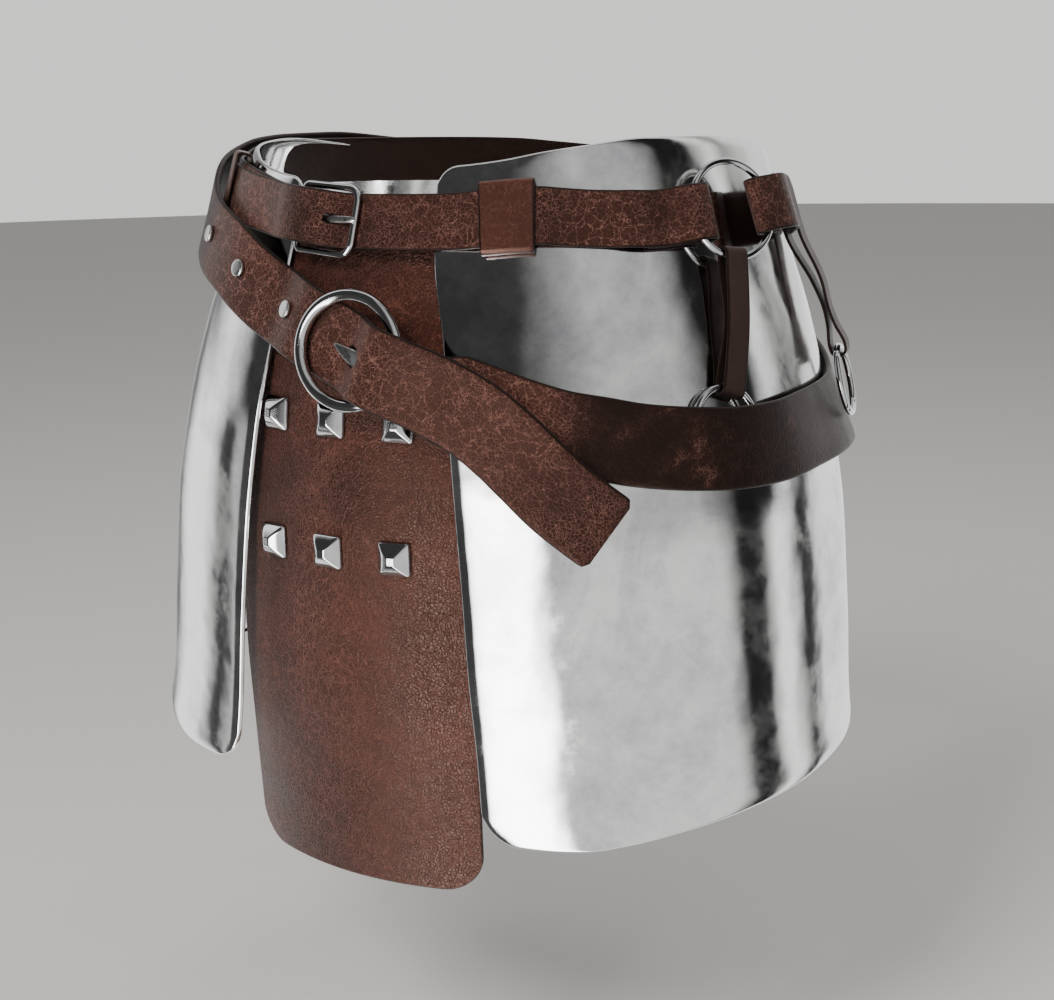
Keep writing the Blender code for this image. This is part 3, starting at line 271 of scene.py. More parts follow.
# Slung belt
SLUNG_WIDTH = 48.0
SLUNG_LEATHER = 4.0
SLUNG = Table(
    ("angle", "height", "out", "turn"),
    (
        (-2, -99, 12.0, 3), (4, -106, 12.0, 3), (12, -114.5, 12.0, 3), (19, -121.2, 8.0, 3),
        (26, -127, 5.0, 0), (31, -132, 3.2, 0), (38, -140, 2.8, 0), (44, -146, 2.8, 0),
        (50, -150, 2.8, 0), (55, -154, 3.8, 0), (59, -156.5, 7.4, 0), (64, -159, 11.4, 0),
        (71, -161.5, 12.4, 0), (78, -162, 12.4, 0), (88, -161, 10.0, -3), (98, -161, 8.0, -8),
        (108, -160, 7.5, -10), (122, -148, 6.0, -6), (142, -124, 5.0, 0), (162, -96, 5.0, 0),
        (182, -68, 5.0, 0), (202, -42, 7.0, 0), (222, -24, 8.4, 0), (242, -14, 9.5, 0),
        (260, -9, 10.5, 0), (275, -9.5, 12.0, 0), (284, -11.5, 13.5, 0), (291, -16.5, 16.0, 0),
        (299, -24.5, 17.5, 0), (308, -38, 17.5, 0), (317, -49.5, 16.5, 0), (325, -58.5, 14.0, 0),
        (332, -69, 11.0, 0), (340, -80, 7.0, 0), (350, -90.5, 4.5, 1.5), (358, -99, 4.2, 2),
        (364, -106, 5.0, 3), (372, -114.5, 12.0, 3), (379, -122, 17.5, 2), (385, -130.5, 14.0, 0),
        (390, -139.5, 10.8, 0), (395, -153, 8.4, 0), (399, -166.5, 8.0, 0), (403, -181, 8.0, 0),
        (407, -193.5, 8.0, 0), (410.5, -204, 8.0, 0),
    ),
)
SLUNG_STEP = 17.0
SLUNG_TAB = 22.0
CLAW = 2.4
CLAW_TIP_ANGLE = 360.9
SLUNG_TAB_LEATHER = 2.4
BIG_RING_CENTRE = (12.3, -185.8, -103.0)
BIG_RING_AZIMUTH = 8.0
BIG_RING_LEAN = 8.0
BIG_RING_RADIUS = 32.8
BIG_RING_WIRE = 7.4
RIVET_ANGLES = (-43.6, -29.8, -13.8)
RIVET_RISE = 1.5
RIVET_HOLE = 2.55
RIVET_SIDES = 36


def signed_power(value, power):
    return math.copysign(abs(value) ** power, value)


def hip_point(angle, height, out=0.0):
    """A point of the hip shape at an angle in degrees, moved out along the face's normal."""
    turn = math.radians(angle)
    sine, cosine = math.sin(turn), math.cos(turn)
    half_width = HIP.at("left_half" if sine >= 0 else "right_half", height)
    half_depth = HIP.at("half_depth", height)
    total = abs(sine / half_width) ** SQUARENESS + abs(cosine / half_depth) ** SQUARENESS
    reach = total ** (-1 / SQUARENESS)
    point = Vector((reach * sine, HIP.at("middle", height) - reach * cosine, height))
    return point + hip_normal(angle, height) * out if out else point


def hip_normal(angle, height):
    round_body = hip_point(angle + 0.1, height) - hip_point(angle - 0.1, height)
    up = hip_point(angle, height + 0.5) - hip_point(angle, height - 0.5)
    return round_body.cross(up).normalized()


def hip_angle(across, height, side, end):
    """The angle at which the hip shape lies a distance across, on one side, at the front or back."""
    low, high = (0.0, 90.0) if end == "front" else (180.0, 90.0)
    for _ in range(30):
        middle = (low + high) / 2
        if abs(hip_point(side * middle, height).x) < across:
            low = middle
        else:
            high = middle
    return low


class Track:
    """A line along the hip shape, in millimetres, with the directions along, out of and across it."""

    def __init__(self, spots):
        self.points = [hip_point(angle, height) for angle, height, _ in spots]
        self.spots = spots
        self.lengths = [0.0]
        for first, second in zip(self.points, self.points[1:]):
            self.lengths.append(self.lengths[-1] + (second - first).length)

    @classmethod
    def round_body(cls, table, start, end, step=0.5):
        count = int((end - start) / step)
        angles = [start + (end - start) * k / count for k in range(count + 1)]
        return cls([(angle, table.at("height", angle), table.at("turn", angle)) for angle in angles])

    @classmethod
    def down_body(cls, table, start, end, step=1.0):
        count = int((start - end) / step)
        heights = [start + (end - start) * k / count for k in range(count + 1)]
        return cls([(table.at("angle", height), height, table.at("turn", height)) for height in heights])

    def length(self):
        return self.lengths[-1]

    def frame(self, run):
        """Point, direction along, direction out and direction across at a distance along the track."""
        last = len(self.lengths) - 2
        k = max(i for i in range(last + 1) if i == 0 or self.lengths[i] <= run)
        t = (run - self.lengths[k]) / (self.lengths[k + 1] - self.lengths[k])
        point = self.points[k].lerp(self.points[k + 1], t)
        before = self.points[max(k - 3, 0)]
        after = self.points[min(k + 4, last + 1)]
        along = (after - before).normalized()
        angle, height, turn = (a + (b - a) * t for a, b in zip(self.spots[k], self.spots[k + 1]))
        out = hip_normal(angle, height)
        out = (out - along * out.dot(along)).normalized()
        out = Matrix.Rotation(math.radians(turn), 3, along) @ out
        return point, along, out, out.cross(along)

    def place(self, run, out, across=0.0):
        point, _, outward, sideways = self.frame(run)
        return point + outward * out + sideways * across

    def run_at(self, angle):
        """Distance along the track at which it passes an angle."""
        spots = self.spots
        for k in range(len(spots) - 1):
            low, high = sorted((spots[k][0], spots[k + 1][0]))
            if low <= angle <= high:
                t = (angle - spots[k][0]) / (spots[k + 1][0] - spots[k][0])
                return self.lengths[k] + t * (self.lengths[k + 1] - self.lengths[k])
        raise ValueError("the track doesn't pass %g degrees" % angle)

    def locate(self, point, stretch=(0.0, FAR)):
        """Distance along the track, and out of it, of a point in space, in a stretch of the track."""
        low, high = stretch
        stretch = [k for k in range(len(self.points)) if low <= self.lengths[k] <= high]
        nearest = min(stretch, key=lambda k: (self.points[k] - point).length)
        run = self.lengths[nearest]
        for _ in range(4):
            spot, along, out, _ = self.frame(min(max(run, 0.0), self.length()))
            run += (point - spot).dot(along)
        return run, (point - spot).dot(out)


def arc(run, out, radius, start, end, steps):
    """Points of an arc in the plane along and out of a track, with angles from the run direction."""
    turns = [math.radians(start + (end - start) * k / steps) for k in range(steps + 1)]
    return [(run + radius * math.cos(turn), out + radius * math.sin(turn)) for turn in turns]


def turned(points, run, out, tilt):
    """Points given beside a bar, turned to lie along its ring and moved to it. tilt is in radians."""
    cosine, sine = math.cos(tilt), math.sin(tilt)
    return [(run + u * cosine - v * sine, out + u * sine + v * cosine) for u, v in points]


def tilt_of(track, run, direction):
    """Slope of a direction against the track at a distance along it, in radians."""
    _, along, out, _ = track.frame(run)
    return math.atan2(direction.dot(out), direction.dot(along))


def bar_of(track, point, direction, stretch=(0.0, FAR)):
    """Where a ring's bar lies on a track: distance along, distance out and slope."""
    run, out = track.locate(point, stretch)
    return run, out, tilt_of(track, run, direction)


def belt_bar(track, centre, face, reach):
    """The bar of a ring at which a belt folds, a distance before or after the ring's middle."""
    along = track.frame(track.locate(centre)[0])[1]
    along = (along - face * along.dot(face)).normalized()
    return bar_of(track, centre + along * reach, along)


def eased(start, end, steps):
    """An S-shaped change from one (run, out) to another."""
    path = []
    for k in range(steps + 1):
        t = k / steps
        ease = t * t * (3 - 2 * t)
        path.append((start[0] + (end[0] - start[0]) * t, start[1] + (end[1] - start[1]) * ease))
    return path


def tidy(path, least=0.4):
    """The path without points that nearly repeat the one before."""
    kept = [path[0]]
    for spot in path[1:]:
        if math.dist(spot[:2], kept[-1][:2]) > least:
            kept.append(spot)
    return kept


def corner_lift(distance, radius):
    """How far a rounded corner lifts an edge, at a distance from the edge beside it."""
    if distance >= radius:
        return 0.0
    return radius - math.sqrt(radius**2 - (radius - distance) ** 2)


def panel_front(across, height):
    """A point on the front face of the loin panel, by its distance from the panel's middle line."""
    return Vector((PANEL_MIDDLE + across, PANEL.at("front", height) + PANEL_BOW * across**2, height))


def panel_frame(across, height):
    """Directions across, up and out of the panel's front face at a point."""
    sideways = (panel_front(across + 0.5, height) - panel_front(across - 0.5, height)).normalized()
    up = (panel_front(across, height + 0.5) - panel_front(across, height - 0.5)).normalized()
    return sideways, up, sideways.cross(up).normalized()


def fold_radius(bar, leather):
    """Middle radius of a strap's bend round a bar, with room to turn."""
    return bar / 2 + 0.5 + leather / 2


def close_in(distance, reach):
    """How far a rounded edge stands back from full size, as a share, at a distance from the very edge."""
    if distance >= reach:
        return 1.0
    return math.sqrt(max(reach**2 - (reach - distance) ** 2, 0.0)) / reach


def flowing(path, step=2.4, closed=False):
    """The path as a smooth curve through its points. Numbers after the first two change evenly between
    points, and the last number added is the place among the given points."""
    count = len(path)
    fine = []
    for k in range(count if closed else count - 1):
        if closed:
            before, start, end, after = (path[(k + j) % count] for j in (-1, 0, 1, 2))
        else:
            before, start, end, after = (path[min(max(k + j, 0), count - 1)] for j in (-1, 0, 1, 2))
        chord = math.dist(start[:2], end[:2])
        first = math.dist(before[:2], start[:2]) or chord
        third = math.dist(end[:2], after[:2]) or chord
        steps = max(2, round(chord / step))
        for i in range(steps):
            t = i / steps
            spot = []
            for axis in (0, 1):
                slope = (end[axis] - start[axis]) / chord
                lead = (start[axis] - before[axis]) / first if before != start else slope
                trail = (after[axis] - end[axis]) / third if after != end else slope
                lead = (lead * chord + slope * first) / (chord + first)
                trail = (slope * third + trail * chord) / (chord + third)
                spot.append(
                    (2 * t**3 - 3 * t**2 + 1) * start[axis]
                    + (t**3 - 2 * t**2 + t) * chord * lead
                    + (3 * t**2 - 2 * t**3) * end[axis]
                    + (t**3 - t**2) * chord * trail
                )
            spot += [a + (b - a) * t for a, b in zip(start[2:], end[2:])]
            fine.append((*spot, k + t))
    if not closed:
        fine.append((*path[-1], float(count - 1)))
    return fine


def sized(path, width, thickness):
    """The path with a width and a thickness at each point."""
    return [(run, out, width, thickness) for run, out in path]


def rounded(path, corner):
    """The path with its far end's corners rounded off and its last millimetre thinned."""
    left = 0.0
    made = [path[-1]]
    for spot, after in zip(path[-2::-1], path[:0:-1]):
        left += math.dist(spot[:2], after[:2])
        made.append((*spot[:2], spot[2] - 2 * corner * (1 - close_in(left, corner)), *spot[3:]))
    run, out, width, thickness, place = made[0]
    made[0] = (run, out, width - 2 * corner + 0.4, thickness * 0.5, place)
    return made[::-1]


def add_piece(piece, nodes, points, faces, finish, slot, sharp=SHARP_ANGLE, body="armour", **marks):
    """A piece from points in millimetres. marks are numbers for each point, which its material can read."""
    mesh = bpy.data.meshes.new(piece)
    mesh.from_pydata([tuple(point * MM) for point in points], [], faces)
    work = bmesh.new()
    work.from_mesh(mesh)
    bmesh.ops.recalc_face_normals(work, faces=work.faces)
    if work.calc_volume(signed=True) < 0:
        bmesh.ops.reverse_faces(work, faces=work.faces)
    work.to_mesh(mesh)
    work.free()
    for mark, values in marks.items():
        mesh.attributes.new(mark, "FLOAT", "POINT").data.foreach_set("value", values)
    mesh.shade_smooth()
    mesh.set_sharp_from_angle(angle=math.radians(sharp))
    mesh.materials.append(finish)
    made = bpy.data.objects.new(piece, mesh)
    bpy.context.scene.collection.objects.link(made)
    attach(made, body)
    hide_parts(*nodes)
    return made


def loft_faces(rings, size, closed):
    faces = []
    for k in range(rings if closed else rings - 1):
        here, there = k * size, (k + 1) % rings * size
        for i in range(size):
            j = (i + 1) % size
            faces.append((here + i, here + j, there + j, there + i))
    if not closed:
        faces.append(tuple(range(size))[::-1])
        faces.append(tuple((rings - 1) * size + i for i in range(size)))
    return faces


def leather_section(width, thickness, columns):
    """Places round a strap's section: across, out, distance from the edge, and 1 on the flesh side."""
    soft = min(thickness * 0.45, width / 5)
    flat = width / 2 - soft
    spots = []
    for side in (-1, 1):
        for k in range(columns + 1):
            across = side * flat * (2 * k / columns - 1)
            spots.append((-across, side * thickness / 2, width / 2 - abs(across), (1 - side) / 2))
        for turn in (-60, -30, 0, 30, 60):
            swing = math.radians(turn)
            out = side * thickness / 2 * math.sin(swing) * -1
            spots.append((-side * (flat + soft * math.cos(swing)), out, soft * (1 - math.cos(swing)), 0.5))
    return spots


def strap(piece, node, track, path, finish, closed=False, columns=10, backwards=False, painted_far_shade=None):
    """A leather strap that follows (run, out, width, thickness, place) points over a track. The grain side is
    on the left of the path, or with backwards on its right. The last argument is a stretch of the track, from
    one distance to another, painted darker as shade where the strap turns away from the light."""
    placed = [track.place(spot[0], spot[1]) for spot in path]
    points, edge, flesh, dark = [], [], [], []
    size = 0
    for k, (run, _, width, thickness, _) in enumerate(path):
        # Share of painted shade here: full on the stretch turned away from the light, fading in at its ends
        kept = 0.0
        if painted_far_shade:
            kept = max(0.0, min(1.0, (run - painted_far_shade[0]) / PAINTED_SHADE_FADE, (painted_far_shade[1] - run) / PAINTED_SHADE_FADE))
        if closed:
            before, after = placed[k - 1], placed[(k + 1) % len(path)]
        else:
            before, after = placed[max(k - 1, 0)], placed[min(k + 1, len(path) - 1)]
        heading = (after - before).normalized()
        across = track.frame(run)[3]
        across = (across - heading * across.dot(heading)).normalized()
        out = across.cross(heading)
        section = leather_section(width, thickness, columns)
        size = len(section)
        for a, b, rim, inside in section:
            point = placed[k] + across * a
            swell = UNEVENNESS * noise.noise(point * 0.045) * min(rim / 3, 1.0)
            points.append(point + out * ((-b if backwards else b) + swell))
            edge.append(rim)
            flesh.append(inside)
            dark.append(kept)
    faces = loft_faces(len(path), size, closed)
    marks = {"edge": edge, "flesh": flesh, "painted_far_shade": dark}
    return add_piece(piece, [node], points, faces, finish, "oiled_leather", **marks)


def on_strap(track, path, run, start=0):
    """Middle, outward and crosswise directions of a strap where its path passes a distance, after a start."""
    after = next(
        k
        for k in range(1, len(path))
        if path[k - 1][4] >= start
        and min(path[k - 1][0], path[k][0]) <= run <= max(path[k - 1][0], path[k][0])
    )
    low, high = (track.place(*path[k][:2]) for k in (after - 1, after))
    centre = (low + high) / 2
    along = track.frame(run)[1]
    heading = (high - low).normalized()
    heading = heading if heading.dot(along) > 0 else -heading
    across = track.frame(run)[3]
    across = (across - heading * across.dot(heading)).normalized()
    return centre, heading.cross(across), across


def crossing_at(path, level, low, high, start=0):
    """Distance along at which a path passes a level off the body, between two distances, after a start."""
    for here, there in zip(path, path[1:]):
        if here[4] >= start and low < here[0] < high and (here[1] - level) * (there[1] - level) <= 0:
            return here[0]
    raise ValueError("the path doesn't pass %g mm" % level)


def ring_of_wire(
    piece, node, centre, along, across, radius, wire, around=112, sides=WIRE_SIDES, body="armour"
):
    """A welded wire ring whose plane holds the directions along and across."""
    out = along.cross(across).normalized()
    points = []
    for k in range(around):
        turn = math.tau * k / around
        spoke = along * math.cos(turn) + across * math.sin(turn)
        for i in range(sides):
            roll = math.tau * i / sides
            wire_out = wire / 2 * (1 + WIRE_UNEVENNESS * noise.noise(spoke * 3.0))
            beside = centre + spoke * (radius + wire_out * math.cos(roll))
            points.append(beside + out * wire_out * math.sin(roll))
    faces = loft_faces(around, sides, True)
    return add_piece(piece, [node], points, faces, chrome, "chromed_steel", body=body)


def sheet_grid(columns, rows, outer, inner):
    """Points and faces of a closed sheet from its outer and inner faces, functions of (column, row)."""
    points = [outer(c, r) for r in range(rows) for c in range(columns)]
    points += [inner(c, r) for r in range(rows) for c in range(columns)]
    back = rows * columns
    faces = []
    for r in range(rows - 1):
        for c in range(columns - 1):
            here = r * columns + c
            corners = (here, here + 1, here + columns + 1, here + columns)
            faces.append(corners)
            faces.append(tuple(back + corner for corner in corners[::-1]))
    rim = list(range(columns))
    rim += [r * columns + columns - 1 for r in range(1, rows)]
    rim += [(rows - 1) * columns + c for c in range(columns - 2, -1, -1)]
    rim += [r * columns for r in range(rows - 2, 0, -1)]
    for first, second in zip(rim, rim[1:] + rim[:1]):
        faces.append((first, second, back + second, back + first))
    return points, faces


def add_sheet(piece, node, outer, inner, edges, finish, slot):
    """A sheet from spots by (column, row), with its distances from the edge and its inner face marked."""
    columns, rows = (last + 1 for last in max(edges))
    points, faces = sheet_grid(columns, rows, lambda c, r: outer[c, r], lambda c, r: inner[c, r])
    edge = [edges[c, r] for _ in (0, 1) for r in range(rows) for c in range(columns)]
    flesh = [0.0] * (rows * columns) + [1.0] * (rows * columns)
    return add_piece(piece, [node], points, faces, finish, slot, edge=edge, flesh=flesh)


def spread(whole, near, corner, columns):
    """Distances from one edge of a sheet to the other, close together at each border and corner."""
    ends = [step for step in near if step < whole / 2]
    if corner > ends[-1]:
        ends += [ends[-1] + (corner - ends[-1]) * k / 5 for k in range(1, 6)]
    inner = [ends[-1] + (whole - 2 * ends[-1]) * k / columns for k in range(1, columns)]
    return ends + inner + [whole - end for end in reversed(ends)]


def hip_plate(piece, node, side, hand):
    """A steel plate round one hip: rolled rim, dished border and a faintly uneven, hammered field."""
    across = spread(PLATE_REACH, PLATE_BORDER, PLATE_FRONT_CORNER["bottom"], PLATE_GRID[0])
    tall = spread(PLATE_FALL, PLATE_BORDER, PLATE_FRONT_CORNER["bottom"], PLATE_GRID[1])
    front_at = Table(
        ("height", "front", "back"),
        [
            (
                height,
                hip_angle(PLATE_FRONT_GAP.at(hand, height), height, side, "front"),
                hip_angle(PLATE_BACK_GAP.at(hand, height), height, side, "back"),
            )
            for height in range(-420, 41, 10)
        ],
    )
    outer, inner, edges = {}, {}, {}
    for c in range(len(across)):
        for r in range(len(tall)):
            share = across[c] / PLATE_REACH
            fall = tall[r] / PLATE_FALL
            height = -15.0 - 370.0 * fall
            for _ in range(3):
                front, back = front_at.at("front", height), front_at.at("back", height)
                angle = front + (back - front) * share
                top, bottom = PLATE_TOP.at(hand, angle), PLATE_BOTTOM.at(hand, angle)
                top -= corner_lift(across[c], PLATE_FRONT_CORNER["top"])
                top -= corner_lift(PLATE_REACH - across[c], PLATE_BACK_CORNER["top"])
                bottom += corner_lift(across[c], PLATE_FRONT_CORNER["bottom"])
                bottom += corner_lift(PLATE_REACH - across[c], PLATE_BACK_CORNER["bottom"])
                height = top + (bottom - top) * fall
            edge = min(across[c], PLATE_REACH - across[c], tall[r], PLATE_FALL - tall[r])
            spot, face = hip_point(side * angle, height), hip_normal(side * angle, height)
            drop = PLATE_BEVEL_DROP * max(0.0, 1 - edge / PLATE_BEVEL) ** 2
            wall = PLATE_SHEET
            if edge < PLATE_RIM:
                thickening = 0.5 + 0.5 * math.cos(math.pi * edge / PLATE_RIM)
                wall = PLATE_SHEET + (PLATE_LIP - PLATE_SHEET) * thickening
            dent = sum(rise * noise.noise(spot * waves) for rise, waves in PLATE_DENTS)
            dent *= min(edge / PLATE_DENT_FADE, 1.0) ** 2
            half = wall / 2 * close_in(edge, PLATE_LIP / 2)
            middle = spot - face * (drop + wall / 2) + face * dent
            outer[c, r] = middle + face * half
            inner[c, r] = middle - face * half
            edges[c, r] = edge
    return add_sheet(piece, node, outer, inner, edges, polished, "polished_steel")


def loin_panel():
    """A thick leather panel, bowed across, with skived edges and a slight sink under each stud."""
    across_at = spread(PANEL_REACH, PANEL_BORDER, PANEL_SIDE_CORNER, PANEL_GRID[0])
    tall = spread(PANEL_TOP - PANEL_BOTTOM, PANEL_BORDER, PANEL_CORNER, PANEL_GRID[1])
    seats = [((c - 1) * STUD_PITCH, height) for height in STUD_ROWS for c in range(3)]
    outer, inner, edges = {}, {}, {}
    for c in range(len(across_at)):
        for r in range(len(tall)):
            height = PANEL_TOP - tall[r]
            half_width = PANEL.at("half_width", height)
            across = (2 * across_at[c] / PANEL_REACH - 1) * half_width
            from_side = half_width - abs(across)
            fall = tall[r] / (PANEL_TOP - PANEL_BOTTOM)
            height += corner_lift(from_side, PANEL_CORNER) * fall**3
            edge = min(from_side, tall[r], PANEL_TOP - PANEL_BOTTOM - tall[r])
            face = panel_frame(across, height)[2]
            spot = panel_front(across, height)
            half = PANEL_LEATHER / 2 * close_in(edge, PANEL_SKIVE)
            sink = PANEL_WAVE * noise.noise(spot * 0.03)
            for x, z in seats:
                away = max(abs(across - x), abs(height - z)) - STUD_SIDE / 2
                sink -= STUD_SINK * math.exp(-(max(away, 0.0) ** 2) / STUD_SINK_SPREAD)
            middle = spot - face * (PANEL_LEATHER / 2 - sink * min(edge / 6, 1.0))
            outer[c, r] = middle + face * half
            inner[c, r] = middle - face * half
            edges[c, r] = edge
    return add_sheet("loin_panel_leather", "loin_panel", outer, inner, edges, waxed, "panel_leather")


def stud_face(across, up):
    """A spot on a cast stud from its place on a square from -1 to 1: across, up and out of its seat, in
    millimetres. Its four faces are slightly crowned and meet in soft ridges, over a short upright foot and
    round a small flat top."""
    reach = max(abs(across), abs(up), FINEST)
    rounded = (abs(across) ** STUD_RIDGE + abs(up) ** STUD_RIDGE) ** (1 / STUD_RIDGE)
    pull = reach / rounded if reach > 1e-3 else 1.0
    slope = max(0.0, min(1.0, (1.0 - reach) / (1.0 - STUD_TOP / STUD_SIDE)))
    foot = STUD_FOOT * close_in((1.0 - reach) * STUD_SIDE / 2, 0.5)
    rise = foot + (STUD_RISE - STUD_FOOT) * slope + STUD_CROWN * math.sin(math.pi * slope)
    half = STUD_SIDE / 2 * pull
    return across * half, up * half, max(rise, 0.3)


def pyramid_stud(number, across, height):
    """A four-sided stud, chromed, on the loin panel's front."""
    sideways, up, out = panel_frame(across, height)
    seat = panel_front(across, height) + out * (STUD_SEAT + PANEL_BOW * (STUD_SIDE / 2) ** 2 * 0.1)
    even = [2 * k / (STUD_GRID - 1) - 1 for k in range(STUD_GRID)]
    places = [0.65 * place + 0.35 * math.sin(math.pi / 2 * place) for place in even]

    def spot(c, r, share):
        a, b, rise = stud_face(places[c], places[r])
        return seat + sideways * a + up * b + out * rise * share

    points, faces = sheet_grid(
        STUD_GRID, STUD_GRID, lambda c, r: spot(c, r, 1.0), lambda c, r: spot(c, r, 0.0)
    )
    name = "pyramid_stud_cap_%d" % number
    return add_piece(name, ["pyramid_stud_%d" % number], points, faces, chrome, "chromed_steel", sharp=60.0)


def keeper(piece, node, track, spec, low, high):
    """A leather loop across the belt, round a stack of layers that lies between two heights off the plate."""
    run = track.run_at(spec["angle"])
    half = KEEPER_LEATHER / 2
    inner, outer = low - 0.3 - half, high + 0.3 + half
    up, down = spec["up"] - half, spec["down"] + half
    radius = min((outer - inner) / 2, 2.6)
    corners = (
        (up - radius, outer - radius, 90, 0),
        (up - radius, inner + radius, 0, -90),
        (down + radius, inner + radius, -90, -180),
        (down + radius, outer - radius, 180, 90),
    )
    path = []
    for across, out, start, end in corners:
        path += arc(across, out, radius, start, end, 8)
        if start in (90, -90):
            continue
        far = down + radius if start == 0 else up - radius
        level = inner if start == 0 else outer
        path += [(across + (far - across) * k / 8, level) for k in range(1, 8)]
    path = tidy(path + path[:1])
    path = path[:-1] if math.dist(path[0], path[-1]) < 0.4 else path
    section = leather_section(spec["width"], KEEPER_LEATHER, 12)
    points, edge, flesh = [], [], []
    for k, (across, out) in enumerate(path):
        before, after = path[k - 1], path[(k + 1) % len(path)]
        heading = Vector((after[0] - before[0], after[1] - before[1])).normalized()
        for side, rise, rim, inside in section:
            points.append(track.place(run + side, out + heading.x * rise, across - heading.y * rise))
            edge.append(rim)
            flesh.append(inside)
    faces = loft_faces(len(path), len(section), True)
    return add_piece(piece, [node], points, faces, smooth, "oiled_leather", edge=edge, flesh=flesh)


def buckle_frame(track, buckle_run):
    """A cast frame of round bar with two rounded corners at its tongue end and two tight ones at its heel."""
    half_length = BUCKLE_LENGTH / 2 - BUCKLE_BAR / 2
    half_height = BUCKLE_HEIGHT / 2 - BUCKLE_BAR / 2
    corner, heel = BUCKLE_CORNER, BUCKLE_HEEL_CORNER
    outline = arc(half_length - corner, -half_height + corner, corner, -90, 0, 10)
    outline += [(half_length, 0.0)]
    outline += arc(half_length - corner, half_height - corner, corner, 0, 90, 10)
    outline += [(0.0, half_height)]
    outline += arc(-half_length + heel, half_height - heel, heel, 90, 180, 7)
    outline += [(-half_length, 0.0)]
    outline += arc(-half_length + heel, -half_height + heel, heel, 180, 270, 7)
    outline += [(0.0, -half_height)]
    centre, along, out, across = track.frame(buckle_run)
    centre = centre + out * BUCKLE_OUT
    half = BUCKLE_BAR / 2
    points = []
    for k, (run, rise) in enumerate(outline):
        before, after = outline[k - 1], outline[(k + 1) % len(outline)]
        heading = Vector((after[0] - before[0], after[1] - before[1])).normalized()
        side = Vector((heading.y, -heading.x))
        for step in range(WIRE_SIDES):
            roll = math.tau * step / WIRE_SIDES
            a, b = half * math.cos(roll), half * 0.9 * math.sin(roll)
            points.append(centre + along * (run + side.x * a) + across * (rise + side.y * a) + out * b)
    faces = loft_faces(len(outline), WIRE_SIDES, True)
    return add_piece("waist_buckle_frame", ["waist_buckle"], points, faces, chrome, "chromed_steel")


def prong(piece, node, track, path, thick):
    """A buckle tongue that hooks round its bar and follows (run, out, across, width) points."""
    fine = flowing([(run, out, across, width) for run, out, across, width in path], 1.2)
    placed = [track.place(*spot[:3]) for spot in fine]
    points = []
    for k, spot in enumerate(fine):
        before, after = placed[max(k - 1, 0)], placed[min(k + 1, len(fine) - 1)]
        heading = (after - before).normalized()
        across = track.frame(spot[0])[3]
        across = (across - heading * across.dot(heading)).normalized()
        out = across.cross(heading)
        from_end = min(k, len(fine) - 1 - k)
        full = (0.55, 0.88)[from_end] if from_end < 2 else 1.0
        for step in range(WIRE_SIDES):
            roll = math.tau * step / WIRE_SIDES
            a = signed_power(math.cos(roll), 0.6) * spot[3] / 2 * full
            b = signed_power(math.sin(roll), 0.6) * thick / 2 * full
            points.append(placed[k] + across * a + out * b)
    return add_piece(piece, [node], points, loft_faces(len(fine), WIRE_SIDES, False), satin, "chromed_steel")


def rivet(number, centre, out, across):
    """A turned rivet: a low domed head with a rolled edge outside, its shank, and a burr inside."""
    along = across.cross(out)
    face = SLUNG_LEATHER / 2 + 0.75
    domed = [t / 10 * math.pi / 2 for t in range(11)]
    profile = [(4.9 * math.sin(turn), face + 2.0 + 0.4 * math.cos(turn)) for turn in domed]
    profile += [(5.15, face + 1.9), (5.33, face + 1.65), (5.4, face + 1.3), (5.4, face + 0.3)]
    profile += [(5.25, face + 0.05), (5.0, face), (2.0, face), (2.0, -face), (3.4, -face)]
    profile += [(3.6, -face - 0.2), (3.6, -face - 0.5), (3.4, -face - 0.7), (0.0, -face - 0.7)]
    points, faces = [centre + out * profile[0][1], centre + out * profile[-1][1]], []
    count = len(profile) - 2
    for radius, rise in profile[1:-1]:
        for k in range(RIVET_SIDES):
            turn = math.tau * k / RIVET_SIDES
            points.append(centre + out * rise + (along * math.cos(turn) + across * math.sin(turn)) * radius)
    for k in range(RIVET_SIDES):
        j = (k + 1) % RIVET_SIDES
        faces.append((0, 2 + k, 2 + j))
        for i in range(count - 1):
            low, high = 2 + i * RIVET_SIDES, 2 + (i + 1) * RIVET_SIDES
            faces.append((low + k, high + k, high + j, low + j))
        last = 2 + (count - 1) * RIVET_SIDES
        faces.append((last + k, 1, last + j))
    piece, nodes = "rivet_head_%d" % number, ["belt_rivet_%d" % number]
    return add_piece(piece, nodes, points, faces, satin, "chromed_steel", sharp=35.0)


